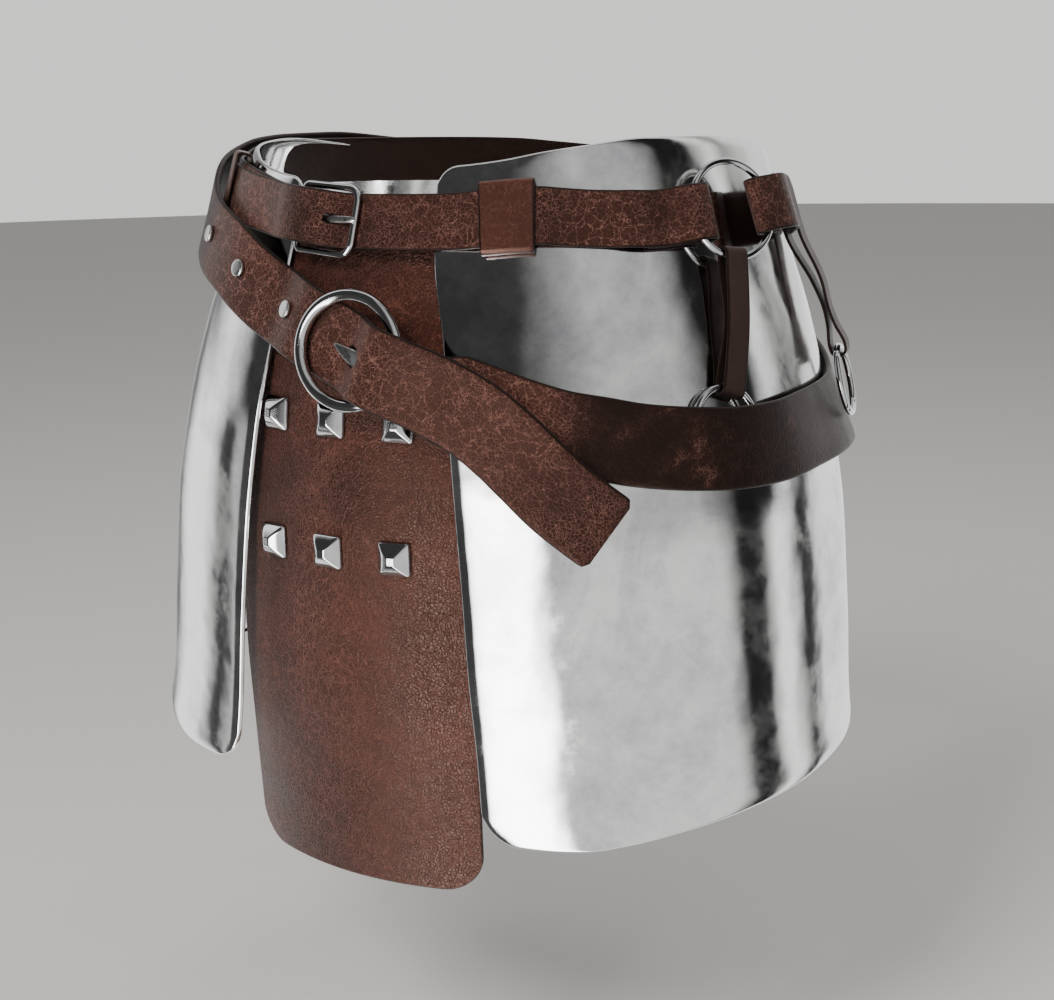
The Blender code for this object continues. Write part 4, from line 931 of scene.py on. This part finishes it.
def punch(target, centre, out, across, size):
    """Punches a slot or, where size is one radius, a round hole through a strap along the direction out."""
    mesh = bpy.data.meshes.new("punch")
    work = bmesh.new()
    if len(size) == 1:
        bmesh.ops.create_cone(
            work, cap_ends=True, segments=28, radius1=size[0] * MM, radius2=size[0] * MM, depth=20 * MM
        )
    else:
        bmesh.ops.create_cube(work, size=1.0)
        bmesh.ops.scale(work, vec=Vector((size[0], size[1], size[2])) * MM, verts=work.verts)
        upright = [edge for edge in work.edges if abs(edge.verts[0].co.z - edge.verts[1].co.z) > FINEST]
        bmesh.ops.bevel(
            work, geom=upright, offset=min(size[:2]) * 0.45 * MM, segments=5, profile=0.5, affect="EDGES"
        )
    turn = Matrix((across.cross(out), across, out)).transposed().to_4x4()
    work.transform(Matrix.Translation(centre * MM) @ turn)
    if work.calc_volume(signed=True) < 0:
        bmesh.ops.reverse_faces(work, faces=work.faces)
    work.to_mesh(mesh)
    work.free()
    tool = bpy.data.objects.new("punch", mesh)
    bpy.context.scene.collection.objects.link(tool)
    modifier = target.modifiers.new("punch", "BOOLEAN")
    modifier.operation = "DIFFERENCE"
    modifier.object = tool
    modifier.solver = "EXACT"
    bpy.context.view_layer.update()
    graph = bpy.context.evaluated_depsgraph_get()
    punched = bpy.data.meshes.new_from_object(target.evaluated_get(graph))
    target.modifiers.clear()
    target.data = punched
    bpy.data.objects.remove(tool)
    punched.set_sharp_from_angle(angle=math.radians(SHARP_ANGLE))


def srgb(code):
    """A linear colour from its sRGB hex code."""
    parts = [int(code[k : k + 2], 16) / 255 for k in (1, 3, 5)]
    return (*(p / 12.92 if p <= 0.04045 else ((p + 0.055) / 1.055) ** 2.4 for p in parts), 1.0)


def add(tree, kind, output=0, stops=(), **values):
    """Adds a node and gives its output, by name or number. A value is a setting of the node where it has one
    of that name. Otherwise it sets or links an input: its name with _ for each space, or i and its number.
    stops are a colour ramp's (place, brightness or sRGB code) pairs."""
    node = tree.nodes.new("ShaderNode" + kind)
    if stops:
        marks = node.color_ramp.elements
        for place, _ in stops[2:]:
            marks.new(place)
        for mark, (place, colour) in zip(sorted(marks, key=lambda m: m.position), sorted(stops)):
            mark.position = place
            mark.color = srgb(colour) if isinstance(colour, str) else (colour, colour, colour, 1.0)
    for name, value in values.items():
        if hasattr(node, name):
            setattr(node, name, value)
            continue
        socket = node.inputs[int(name[1:]) if name[1:].isdigit() else name.replace("_", " ")]
        if isinstance(value, bpy.types.NodeSocket):
            tree.links.new(value, socket)
        else:
            socket.default_value = value
    return node.outputs[output]


def finish_named(name):
    """A new material, its nodes, its shader and the place on the object in metres."""
    made = bpy.data.materials.new(name)
    made.use_nodes = True
    tree = made.node_tree
    return made, tree, tree.nodes["Principled BSDF"], add(tree, "TexCoord", "Object")


def feed(tree, shader, links):
    """Links outputs to the shader's inputs, or sets them."""
    for name, value in links.items():
        if isinstance(value, bpy.types.NodeSocket):
            tree.links.new(value, shader.inputs[name])
        else:
            shader.inputs[name].default_value = value


def leather(name, base, crack, shade, roughness, cell, worn, open_net=0.9, depth=0.5, shine=0.3):
    """Vegetable-tanned cowhide, dyed dark, oiled and waxed. Bending has opened a net of fine cracks in the
    dyed grain, with redder tan showing in them, most where hands have worn it. Cut edges are burnished
    nearly black. cell is the size of the grain's islands in mm, worn the range of wear that opens cracks."""
    made, tree, shader, place = finish_named(name)
    warp = add(tree, "TexNoise", "Color", Vector=place, Scale=210.0, Detail=3.0)
    bent = add(tree, "MixRGB", blend_type="LINEAR_LIGHT", Fac=0.0016, Color1=place, Color2=warp)
    # Cracks part the grain into islands of 2 to 3 mm, and wrinkles into plates of about 8 mm
    net = add(tree, "TexVoronoi", "Distance", feature="DISTANCE_TO_EDGE", Vector=bent, Scale=1000 / cell)
    drift = add(tree, "TexNoise", "Color", Vector=place, Scale=60.0, Detail=5.0, Roughness=0.6)
    creased = add(tree, "MixRGB", blend_type="LINEAR_LIGHT", Fac=0.012, Color1=place, Color2=drift)
    away = add(tree, "TexVoronoi", "Distance", feature="DISTANCE_TO_EDGE", Vector=creased, Scale=280 / cell)
    # Pores are about 0.3 mm, drawn at 1 mm so that they show
    pores = add(tree, "TexNoise", Vector=place, Scale=1000.0, Detail=2.0)
    # Handling wears the hide in patches of about 25 mm
    patches = add(tree, "TexNoise", Vector=place, Scale=40.0, Detail=5.0, Roughness=0.62)
    cloud = add(tree, "TexNoise", Vector=place, Scale=13.0, Detail=4.0)
    wear = add(tree, "ValToRGB", stops=[(worn[0], 0.12 * open_net), (worn[1], open_net)], Fac=patches)
    short_line = add(tree, "ValToRGB", stops=[(0.0, 1.0), (0.025, 0.6), (0.06, 0.0)], Fac=net)
    long_line = add(tree, "ValToRGB", stops=[(0.0, 1.0), (0.01, 0.8), (0.028, 0.0)], Fac=away)
    strained = add(tree, "ValToRGB", stops=[(0.36, 0.35 * open_net), (0.56, open_net)], Fac=cloud)
    long_line = add(tree, "Math", operation="MULTIPLY", i0=long_line, i1=strained)
    line = add(tree, "Math", operation="MULTIPLY", i0=short_line, i1=wear)
    line = add(tree, "Math", operation="MAXIMUM", i0=line, i1=long_line)
    line = add(tree, "Math", operation="MULTIPLY", i0=line, i1=pores)
    line = add(tree, "Math", operation="MULTIPLY", i0=line, i1=1.5)
    tint = add(tree, "Math", operation="MULTIPLY_ADD", i0=pores, i1=0.5, i2=cloud)
    field = add(tree, "ValToRGB", stops=[(0.55, shade), (0.95, base)], Fac=tint)
    colour = add(tree, "MixRGB", Fac=line, Color1=field, Color2=srgb(crack))
    # Burnished cut edges, ragged where the hide is worn
    edge = add(tree, "Attribute", "Fac", attribute_name="edge")
    ragged = add(tree, "Math", operation="MULTIPLY_ADD", i0=patches, i1=-1.2, i2=edge)
    burnish = add(tree, "ValToRGB", stops=[(0.3, 1.0), (0.9, 0.0)], Fac=ragged)
    colour = add(tree, "MixRGB", Fac=burnish, Color1=colour, Color2=srgb("#150f0d"))
    # Painted shade: stretches turned away from the light are painted nearly black, apart from small rubbed
    # spots
    painted_far_shade = add(tree, "Attribute", "Fac", attribute_name="painted_far_shade")
    painted_shade_share = add(tree, "ValToRGB", stops=[(0.42, 0.96), (0.6, 0.85), (0.7, 0.2)], Fac=patches)
    painted_shade_share = add(tree, "Math", operation="MULTIPLY", i0=painted_shade_share, i1=painted_far_shade)
    colour = add(tree, "MixRGB", Fac=painted_shade_share, Color1=colour, Color2=srgb("#110c0b"))
    # The flesh side is split fibre without cracks, painted dark as shade because it faces in, towards the
    # body
    flesh = add(tree, "Attribute", "Fac", attribute_name="flesh")
    colour = add(tree, "MixRGB", Fac=flesh, Color1=colour, Color2=srgb("#1c1411"))
    gloss = add(tree, "ValToRGB", stops=[(0.3, roughness - 0.05), (0.7, roughness + 0.06)], Fac=patches)
    # Cracks, wrinkles and pores sink into the grain
    relief = add(tree, "Math", operation="MINIMUM", i0=net, i1=0.16)
    crease = add(tree, "Math", operation="MINIMUM", i0=away, i1=0.05)
    relief = add(tree, "Math", operation="MULTIPLY_ADD", i0=crease, i1=2.5, i2=relief)
    relief = add(tree, "Math", operation="MULTIPLY_ADD", i0=pores, i1=0.08, i2=relief)
    bump = add(tree, "Bump", Strength=depth, Distance=MM, Height=relief)
    feed(tree, shader, {"Base Color": colour, "Roughness": gloss, "Normal": bump, "IOR": 1.5})
    feed(tree, shader, {"Specular IOR Level": shine, "Specular Tint": srgb("#e8b7a6")})
    feed(tree, shader, {"Sheen Weight": 0.05, "Sheen Roughness": 0.45})
    return made


def metal(name, base, worn, low, high, cloud_scale, haze_scale, swell):
    """Mild steel ground and buffed by hand, or plated. The buffing leaves cloudy hazes of fine scratches, so
    its reflections are sharp in one place and soft in the next. swell is how uneven the face is, in mm."""
    made, tree, shader, place = finish_named(name)
    cloud = add(tree, "TexNoise", Vector=place, Scale=cloud_scale, Detail=7.0, Roughness=0.6, Distortion=0.8)
    haze = add(tree, "TexNoise", Vector=place, Scale=haze_scale, Detail=9.0, Roughness=0.72)
    mixed = add(tree, "Math", operation="MULTIPLY_ADD", i0=haze, i1=0.5, i2=cloud)
    shares = [(0.58, low), (0.76, low * 1.4), (0.84, 0.7 * high), (1.0, high)]
    gloss = add(tree, "ValToRGB", stops=shares, Fac=mixed)
    tone = add(tree, "ValToRGB", stops=[(0.58, base), (0.82, worn)], Fac=mixed)
    # Scratches run round the body, drawn at several times their real width so that they show
    stretched = add(tree, "Mapping", Vector=place, Scale=(30.0, 30.0, 420.0))
    scratch = add(tree, "TexNoise", Vector=stretched, Scale=8.0, Detail=4.0)
    bump = add(tree, "Bump", Strength=0.03, Distance=0.2 * MM, Height=scratch)
    sweep = add(tree, "TexNoise", Vector=place, Scale=2.2 * cloud_scale, Detail=2.0)
    bump = add(tree, "Bump", Distance=swell * MM, Height=sweep, Normal=bump)
    feed(tree, shader, {"Metallic": 1.0, "Base Color": tone, "Roughness": gloss, "Normal": bump})
    return made


# Oiled cowhide of the belts, and a smoother hide for the two keepers and the hanging straps
oiled = leather("oiled_cowhide", "#432a24", "#a5776b", "#291a17", 0.41, 2.3, (0.38, 0.66))
smooth = leather(
    "smooth_keeper_hide", "#503029", "#94695d", "#3d2621", 0.31, 1.8, (0.4, 0.7), 0.45, 0.12, 0.6
)
dull = leather("waxed_strap_hide", "#40322f", "#57443e", "#352927", 0.46, 1.8, (0.5, 0.8), 0.3, 0.15)
# Waxed hide of the loin panel, with the deepest grain
waxed = leather("waxed_panel_cowhide", "#472a23", "#9a5f50", "#2b1915", 0.39, 2.1, (0.4, 0.66), 0.8, 1.0, 0.6)
# Buffed plates, bright chrome, and duller chrome for the claw, the tongue and the rivets
polished = metal("buffed_mild_steel", "#b8b8bb", "#e4e4e2", 0.07, 0.25, 9.0, 60.0, 0.9)
chrome = metal("chrome_plated_steel", "#cfcfd0", "#bdbdbd", 0.06, 0.16, 30.0, 160.0, 0.1)
satin = metal("satin_chromed_steel", "#dcdcdc", "#cccccc", 0.26, 0.34, 30.0, 160.0, 0.1)

# Plates, panel and studs
hip_plate("plate_left_sheet", "plate_left", 1, "left")
hip_plate("plate_right_sheet", "plate_right", -1, "right")
loin_panel()
for row, stud_height in enumerate(STUD_ROWS):
    for column in range(3):
        pyramid_stud(3 * row + column + 1, (column - 1) * STUD_PITCH, stud_height)

# Straps run down the hip from the rings' middles
front_strap = Track.down_body(FRONT_STRAP, UPPER_RING_HEIGHT, LOWER_RING_HEIGHT)
rear_strap = Track.down_body(REAR_STRAP, 0.0, REAR_RING_HEIGHT)

# Upper ring, between the two halves of the waist belt
ring_normal = hip_normal(UPPER_RING_ANGLE, UPPER_RING_HEIGHT)
ring_face = Matrix.Rotation(math.radians(-UPPER_RING_TURN), 3, "Z") @ ring_normal
ring_side = Vector((0.0, 0.0, 1.0)).cross(ring_face).normalized()
ring_down = ring_side.cross(ring_face)
upper_centre = hip_point(UPPER_RING_ANGLE, UPPER_RING_HEIGHT, UPPER_RING_OUT)
ring_of_wire(
    "upper_ring_wire", "upper_ring", upper_centre, ring_down, ring_side, UPPER_RING_RADIUS, RING_WIRE
)
ring_hold = math.sqrt(UPPER_RING_RADIUS**2 - (BELT_WIDTH / 2 + 2.9) ** 2)

# Waist belt
waist_front = Track.round_body(WAIST_FRONT, -56, 84)
run, out, tilt = belt_bar(waist_front, upper_centre, ring_face, -ring_hold)
buckle_run = waist_front.run_at(BUCKLE_ANGLE)
buckle_spot, buckle_along, buckle_face, _ = waist_front.frame(buckle_run)
buckle_centre = buckle_spot + buckle_face * BUCKLE_OUT
buckle_reach = BUCKLE_LENGTH / 2 - BUCKLE_BAR / 2
tongue = bar_of(waist_front, buckle_centre + buckle_along * buckle_reach, buckle_along)
heel = bar_of(waist_front, buckle_centre - buckle_along * buckle_reach, buckle_along)
bend = fold_radius(RING_WIRE, BELT_LEATHER) + 0.65
path = eased((run - 36, BELT_REST + 0.7), (run - 22, BELT_REST + 0.7), 1)
path += turned([(-9.0, -bend)] + arc(0, 0, bend, -90, 90, 8) + [(-9.0, bend)], run, out, tilt)
path += eased((run - 24, BELT_RAISED + 0.9), (run - 38, BELT_RAISED + 0.9), 1)
path += eased((run - 42, BELT_RAISED + 0.6), (run - 58, BELT_REST), 3)
front_hold = waist_front.run_at(FRONT_KEEPER["angle"])
path += eased((front_hold + 32, BELT_REST), (front_hold + 18, BELT_RAISED), 3)
path += eased((front_hold - 18, BELT_RAISED), (front_hold - 32, BELT_REST), 3)
under = tongue[1] - BUCKLE_BAR / 2 - 0.5 - BELT_LEATHER / 2
over = heel[1] + fold_radius(BUCKLE_BAR, BELT_LEATHER) + BELT_LEATHER + 0.7
path += [(tongue[0] + 8, under), (tongue[0] + 1, under)]
path += eased((tongue[0] - 5, under + 0.4), (tongue[0] - 22, over), 8)
path += eased((heel[0] - 6, over + 0.3), (heel[0] - 22, BELT_RAISED + BELT_LEATHER + 0.9), 4)
path += [(waist_front.run_at(WAIST_TAIL_ANGLE) + 0.2, BELT_RAISED + BELT_LEATHER + 0.5)]
front_path = rounded(flowing(sized(tidy(path), BELT_WIDTH, BELT_LEATHER)), 7.0)
front_belt = strap("waist_belt_front_leather", "waist_belt_front", waist_front, front_path, oiled)

waist_rear = Track.round_body(WAIST_REAR, 74, 357)
run, out, tilt = belt_bar(waist_rear, upper_centre, ring_face, ring_hold)
rear_heel = bar_of(waist_rear, buckle_centre - buckle_along * buckle_reach, buckle_along)
bend = fold_radius(RING_WIRE, BELT_LEATHER) + 0.55
belt_over = waist_rear.run_at(REAR_STRAP.rows[0][1])
fold = [(12.0, -bend), (7.0, -bend)] + arc(0, 0, bend, -90, -270, 8) + [(8.0, bend + 0.7), (13.0, bend + 0.9)]
path = turned(fold, run, out, tilt)
path += [(belt_over - 13, REAR_STRAP_BELT_OUT + 1.5), (belt_over, REAR_STRAP_BELT_OUT)]
path += eased((belt_over + 13, REAR_STRAP_BELT_OUT - 1.5), (belt_over + 60, BELT_REST), 4)
tail_hold = waist_rear.run_at(360 + TAIL_KEEPER["angle"])
path += eased((tail_hold - 50, BELT_REST), (tail_hold - 12, BELT_RAISED), 3)
heel_bend = fold_radius(BUCKLE_BAR, BELT_LEATHER) + 0.2
path += eased((rear_heel[0] - 18, BELT_RAISED), (rear_heel[0] - 7, rear_heel[1] + heel_bend), 3)
path += turned(arc(0, 0, heel_bend, 90, -90, 8), *rear_heel)
path += [(rear_heel[0] - 7, rear_heel[1] - heel_bend), (rear_heel[0] - 28, BELT_REST - 0.3)]
rear_path = flowing(sized(tidy(path), BELT_WIDTH, BELT_LEATHER))
rear_belt = strap(
    "waist_belt_rear_leather",
    "waist_belt_rear",
    waist_rear,
    rear_path,
    oiled,
    backwards=True,
    # Painted shade on the belt from 93 to 318 degrees, where it turns away from the light
    painted_far_shade=(waist_rear.run_at(93), waist_rear.run_at(318)),
)
buckle_frame(waist_front, buckle_run)
keeper_low = BELT_RAISED - BELT_LEATHER / 2
keeper(
    "front_keeper_loop",
    "front_keeper",
    waist_front,
    FRONT_KEEPER,
    keeper_low - 0.3,
    keeper_low + BELT_LEATHER + 0.3,
)
keeper(
    "tail_keeper_loop",
    "tail_keeper",
    waist_front,
    TAIL_KEEPER,
    keeper_low - 0.5,
    keeper_low + 2 * BELT_LEATHER + 1.2,
)

# Front strap and its ring, between plate and slung belt
strap_bend = fold_radius(RING_WIRE, STRAP_LEATHER) + 0.5
upper_sag = UPPER_RING_RADIUS - math.sqrt(UPPER_RING_RADIUS**2 - (STRAP_WIDTH / 2) ** 2)
lower_sag = LOWER_RING_RADIUS - math.sqrt(LOWER_RING_RADIUS**2 - (STRAP_WIDTH / 2) ** 2)
top_bar = bar_of(front_strap, upper_centre + ring_down * (UPPER_RING_RADIUS - 0.3), ring_down)
spot, lower_down, lower_face, lower_side = front_strap.frame(front_strap.length())
lower_centre = spot + lower_face * LOWER_RING_OUT
ring_of_wire(
    "lower_ring_front_wire", "lower_ring_front", lower_centre, lower_down, lower_side,
    LOWER_RING_RADIUS, RING_WIRE,
)
low_bar = bar_of(front_strap, lower_centre - lower_down * LOWER_RING_RADIUS, lower_down)
path = turned(arc(-upper_sag, 0, strap_bend, 90, 270, 8) + [(3.0, -strap_bend)], *top_bar)
path += [((top_bar[0] + low_bar[0]) / 2, (top_bar[1] + low_bar[1]) / 2 - 0.4)]
path += turned([(-3.0, -strap_bend)] + arc(lower_sag, 0, strap_bend, -90, 90, 8), *low_bar)
path += turned([(-3.0, strap_bend)], *low_bar) + turned([(3.0, strap_bend)], *top_bar)
strap_path = flowing(sized(tidy(path, 0.6), STRAP_WIDTH, STRAP_LEATHER), closed=True)
strap("front_strap_leather", "front_strap", front_strap, strap_path, dull, closed=True, columns=6)

# Rear strap round the waist belt, and its hanging ring
spot, hang_down, hang_face, hang_side = rear_strap.frame(rear_strap.length())
hang_centre = spot + hang_face * REAR_RING_OUT
hinge = hang_centre - hang_down * LOWER_RING_RADIUS
ring_of_wire(
    "lower_ring_rear_wire",
    "lower_ring_rear",
    hang_centre,
    hang_down,
    hang_side,
    LOWER_RING_RADIUS,
    RING_WIRE,
    body="hanging_ring",
)
belt_point = waist_rear.place(belt_over, REAR_STRAP_BELT_OUT, BELT_WIDTH / 2)
belt_run, belt_out = rear_strap.locate(belt_point)
top_bend = BELT_LEATHER / 2 + 1.6 + STRAP_LEATHER / 2
hang_bar = bar_of(rear_strap, hinge, hang_down)
pinch = (hang_bar[0] - 24, hang_bar[1] - 0.5)
path = arc(belt_run - 0.2, belt_out - 0.3, top_bend, 90, 270, 8)
path += [(belt_run + 16, belt_out - top_bend - 0.9), (belt_run + 35, belt_out - top_bend - 0.3)]
path += [(pinch[0] - 18, pinch[1] - 3.4), (pinch[0], pinch[1] - 1.5), (pinch[0] + 9, pinch[1] - 1.9)]
path += turned(arc(0.9, 0.7, REAR_BEND, -90, 90, 8), *hang_bar)
path += [(pinch[0] + 9, pinch[1] + 2.6), (pinch[0], pinch[1] + 1.5), (pinch[0] - 18, pinch[1] + 2.2)]
path += [(belt_run + 35, belt_out + top_bend + 0.9), (belt_run + 16, belt_out + top_bend + 0.6)]
strap_path = flowing(sized(tidy(path, 0.6), STRAP_WIDTH, STRAP_LEATHER), closed=True)
strap("rear_strap_leather", "rear_strap", rear_strap, strap_path, dull, closed=True, columns=6)

# Slung belt, from its fold on the big ring, round the body, through the ring, to its tail
azimuth, lean = math.radians(BIG_RING_AZIMUTH), math.radians(BIG_RING_LEAN)
big_centre = Vector(BIG_RING_CENTRE)
big_face = Vector((math.sin(azimuth) * math.cos(lean), -math.cos(azimuth) * math.cos(lean), math.sin(lean)))
slung = Track.round_body(SLUNG, 0, 410.5)
slung_along = slung.frame(slung.run_at(12))[1]
big_along = (slung_along - big_face * slung_along.dot(big_face)).normalized()
big_across = big_face.cross(big_along)
ring_of_wire(
    "big_ring_wire", "big_ring", big_centre, big_along, big_across, BIG_RING_RADIUS, BIG_RING_WIRE, 160, 32
)
late = (slung.run_at(340), slung.length())
fold_bar = bar_of(slung, big_centre + big_along * BIG_RING_RADIUS, big_along, (0.0, slung.run_at(40)))
under_bar = bar_of(slung, big_centre - big_along * BIG_RING_RADIUS, big_along, late)
over_bar = bar_of(slung, big_centre + big_along * BIG_RING_RADIUS, big_along, late)
tab_sag = BIG_RING_RADIUS - math.sqrt(BIG_RING_RADIUS**2 - (SLUNG_TAB / 2 + 2.0) ** 2)
tab_bend = fold_radius(BIG_RING_WIRE, SLUNG_TAB_LEATHER) + 0.2
fold = [(20.0, -tab_bend + 1.0), (9.0, -tab_bend)]
fold += arc(-tab_sag, 0, tab_bend, -90, -270, 10) + [(7.0, tab_bend)]
path = tidy(turned(fold, *fold_bar))
fold_count = len(path)
under = under_bar[1] - BIG_RING_WIRE / 2 - 0.9 - SLUNG_LEATHER / 2
over = over_bar[1] + tab_bend + SLUNG_TAB_LEATHER / 2 + 1.7 + SLUNG_LEATHER / 2
run, stop = slung.run_at(26), slung.run_at(345)
while run < stop - 5:
    angle = next(slung.spots[k][0] for k in range(len(slung.lengths)) if slung.lengths[k] >= run)
    path.append((run, SLUNG.at("out", angle)))
    run += SLUNG_STEP
middle_run = (under_bar[0] + over_bar[0]) / 2
path += [(under_bar[0] - 10, under), (under_bar[0], under), (under_bar[0] + 12, under - 2.2)]
path += eased((middle_run - 3, under - 2.0), (over_bar[0] - 12.5, over + 0.6), 7)
path += [(over_bar[0] + 5, over)]
path += [(slung.run_at(angle), SLUNG.at("out", angle)) for angle in (380, 384, 388, 393, 398, 403)]
path += [(slung.length() - k, SLUNG.at("out", 410)) for k in (14.0, 0.3)]
tab_end = path[fold_count - 1][0]
wide_path = []
for k, (run, out) in enumerate(path):
    t = 0.0 if k < fold_count else min(max((run - tab_end) / 22.0, 0.0), 1.0)
    t = t * t * (3 - 2 * t)
    width = SLUNG_TAB + (SLUNG_WIDTH - SLUNG_TAB) * t
    wide_path.append((run, out, width, SLUNG_TAB_LEATHER + (SLUNG_LEATHER - SLUNG_TAB_LEATHER) * t))
slung_path = rounded(flowing(wide_path, 2.8), 4.5)
slung_belt = strap(
    "slung_belt_leather",
    "slung_belt",
    slung,
    slung_path,
    oiled,
    columns=16,
    backwards=True,
    # Painted shade on the belt from 40 to 320 degrees, where it turns away from the light
    painted_far_shade=(slung.run_at(40), slung.run_at(320)),
)

# Rivets for the slung belt's holes
for number, rivet_angle in enumerate(RIVET_ANGLES):
    centre, out, across = on_strap(slung, slung_path, slung.run_at(360 + rivet_angle), fold_count)
    centre += across * RIVET_RISE
    rivet(number + 1, centre, out, across)
    punch(slung_belt, centre, out, across, (RIVET_HOLE,))

# Waist prong: round the heel bar, through the slit in the front belt, onto the tongue bar
reach = BUCKLE_BAR / 2 + 0.45 + PRONG / 2
hook = turned(arc(0, 0, reach, -30, -270, 8), *heel)
rest = tongue[1] + BUCKLE_BAR / 2 + 0.4 + PRONG / 2
shaft = [(heel[0] + 12, heel[1] + reach), (tongue[0] - 8, rest + 0.1), (tongue[0] + 0.5, rest)]
shaft += [(tongue[0] + 3.0, rest - 0.3)]
widths = [PRONG_WIDTH] * (len(hook) + 2) + [PRONG_WIDTH * 0.85, PRONG_WIDTH * 0.5]
path = [(run, out, 0.0, width) for (run, out), width in zip(hook + shaft, widths)]
prong("waist_prong_wire", "waist_prong", waist_front, path, PRONG)
fold_spot = waist_front.place(heel[0], heel[1])
_, _, heel_face, heel_across = waist_front.frame(heel[0])
punch(rear_belt, fold_spot, heel_face, heel_across, (15.0, PRONG_WIDTH + 1.6, 12.0))
level = heel[1] + reach
crossing = crossing_at(front_path, level, heel[0], tongue[0])
punch(front_belt, *on_strap(waist_front, front_path, crossing - 1.0), (10.0, PRONG_WIDTH + 1.6, 12.0))

# Slung prong: a broad claw, round the big ring, through the slit in the slung belt
reach = BIG_RING_WIRE / 2 + 0.7 + CLAW / 2
hook = turned(arc(0, 0, reach, -150, 90, 10), *over_bar)
tip_run = slung.run_at(CLAW_TIP_ANGLE)
level = over_bar[1] + reach
shaft = [(over_bar[0] - 9, level), (over_bar[0] - 15, level), (over_bar[0] - 21, level + 0.2)]
shaft += [(tip_run + 14, level + 0.2), (tip_run + 6, level - 0.3)]
shaft += [(tip_run + 1.5, level - 0.9), (tip_run, level - 1.2)]
rise = [0.0] * (len(hook) + 1) + [-0.3, -0.6, -0.2, 0.5, 1.0, 1.2]
widths = [5.5] * (len(hook) + 1) + [8.0, 10.0, 8.6, 5.2, 2.6, 1.4]
path = [(run, out, across, width) for (run, out), across, width in zip(hook + shaft, rise, widths)]
prong("slung_prong_claw", "slung_prong", slung, path, CLAW)
_, _, bar_face, bar_across = slung.frame(fold_bar[0])
fold_spot = slung.place(fold_bar[0] - 1.5, fold_bar[1])
punch(slung_belt, fold_spot, bar_face, bar_across, (17.0, 7.0, 15.0))
crossing = crossing_at(slung_path, level, middle_run - 5, FAR, fold_count)
punch(slung_belt, *on_strap(slung, slung_path, crossing - 0.5, fold_count), (17.0, 12.0, 10.0))

# Floor, pale and plain, below the held-up armour
floor_mesh = bpy.data.meshes.new("floor")
work = bmesh.new()
bmesh.ops.create_circle(work, cap_ends=True, segments=96, radius=9.0)
work.to_mesh(floor_mesh)
work.free()
floor = bpy.data.objects.new("floor", floor_mesh)
floor.location = (0.0, 0.0, FLOOR_HEIGHT)
bpy.context.scene.collection.objects.link(floor)
paint, tree, shader, _ = finish_named("matt_studio_floor")
feed(tree, shader, {"Base Color": srgb("#e6e4e0"), "Roughness": 0.85})
floor_mesh.materials.append(paint)
floor.visible_glossy = False
floor.visible_diffuse = False

# Studio light: a soft key, a soft fill, and a world of plain walls with lit and unlit stretches to mirror
for name, spot, aim, size, power, colour in LAMPS:
    lamp = bpy.data.lights.new(name, "AREA")
    lamp.shape = "RECTANGLE"
    lamp.size, lamp.size_y = size
    lamp.energy = power
    lamp.color = srgb(colour)[:3]
    holder = bpy.data.objects.new(name, lamp)
    holder.location = spot
    holder.visible_glossy = False
    holder.rotation_mode = "QUATERNION"
    holder.rotation_quaternion = (Vector(aim) - Vector(spot)).to_track_quat("-Z", "Y")
    bpy.context.scene.collection.objects.link(holder)


def studio_stops(stretches):
    """A colour ramp's stops for stretches of the studio, from their degrees and brightness."""
    return [(0.25 + place / 360, level / STUDIO_PEAK) for *ends, level in stretches for place in ends]


world = bpy.data.worlds.new("studio")
bpy.context.scene.world = world
world.use_nodes = True
sky = world.node_tree
shine = sky.nodes["Background"]
toward = add(sky, "TexCoord", "Generated")
ahead, aside, above = (add(sky, "SeparateXYZ", axis, Vector=toward) for axis in ("X", "Y", "Z"))
turn = add(sky, "Math", operation="ARCTAN2", i0=aside, i1=ahead)
turn = add(sky, "Math", operation="MULTIPLY_ADD", i0=turn, i1=1 / math.tau, i2=0.5)
low, high, soft = (
    add(sky, "ValToRGB", stops=studio_stops(stretches), Fac=turn)
    for stretches in (STUDIO_LOW, STUDIO_HIGH, STUDIO_SOFT)
)
level = add(sky, "Math", operation="MULTIPLY_ADD", i0=above, i1=0.5, i2=0.5)
rise = add(sky, "ValToRGB", stops=STUDIO_EDGE, Fac=level)
share = add(sky, "ValToRGB", stops=SOFT_HEIGHTS, Fac=level)
soft = add(sky, "MixRGB", blend_type="MULTIPLY", Fac=1.0, Color1=soft, Color2=share)
mirrored = add(sky, "MixRGB", Fac=rise, Color1=low, Color2=high)
glossy, seen = (add(sky, "LightPath", kind) for kind in ("Is Glossy Ray", "Is Camera Ray"))
lit = add(sky, "MixRGB", Fac=glossy, Color1=soft, Color2=mirrored)
feed(sky, shine, {"Color": lit, "Strength": STUDIO_PEAK})
plain = add(sky, "Background", Color=srgb(BACKDROP), Strength=BACKDROP_LIGHT)
both = add(sky, "MixShader", i0=seen, i1=shine.outputs[0], i2=plain)
feed(sky, sky.nodes["World Output"], {"Surface": both})

# Camera at the photograph's angle
lens = bpy.data.cameras.new("camera")
lens.sensor_width = SENSOR_WIDTH
lens.lens = CAMERA_FOCAL_PIXELS / PHOTO_WIDTH_PIXELS * SENSOR_WIDTH
lens.clip_start, lens.clip_end = 0.05, 60.0
camera = bpy.data.objects.new("camera", lens)
right, up, back = Vector(CAMERA_RIGHT), Vector(CAMERA_UP), -Vector(CAMERA_FORWARD)
camera.matrix_world = Matrix.Translation(CAMERA_SPOT) @ Matrix((right, up, back)).transposed().to_4x4()
bpy.context.scene.collection.objects.link(camera)
bpy.context.scene.camera = camera
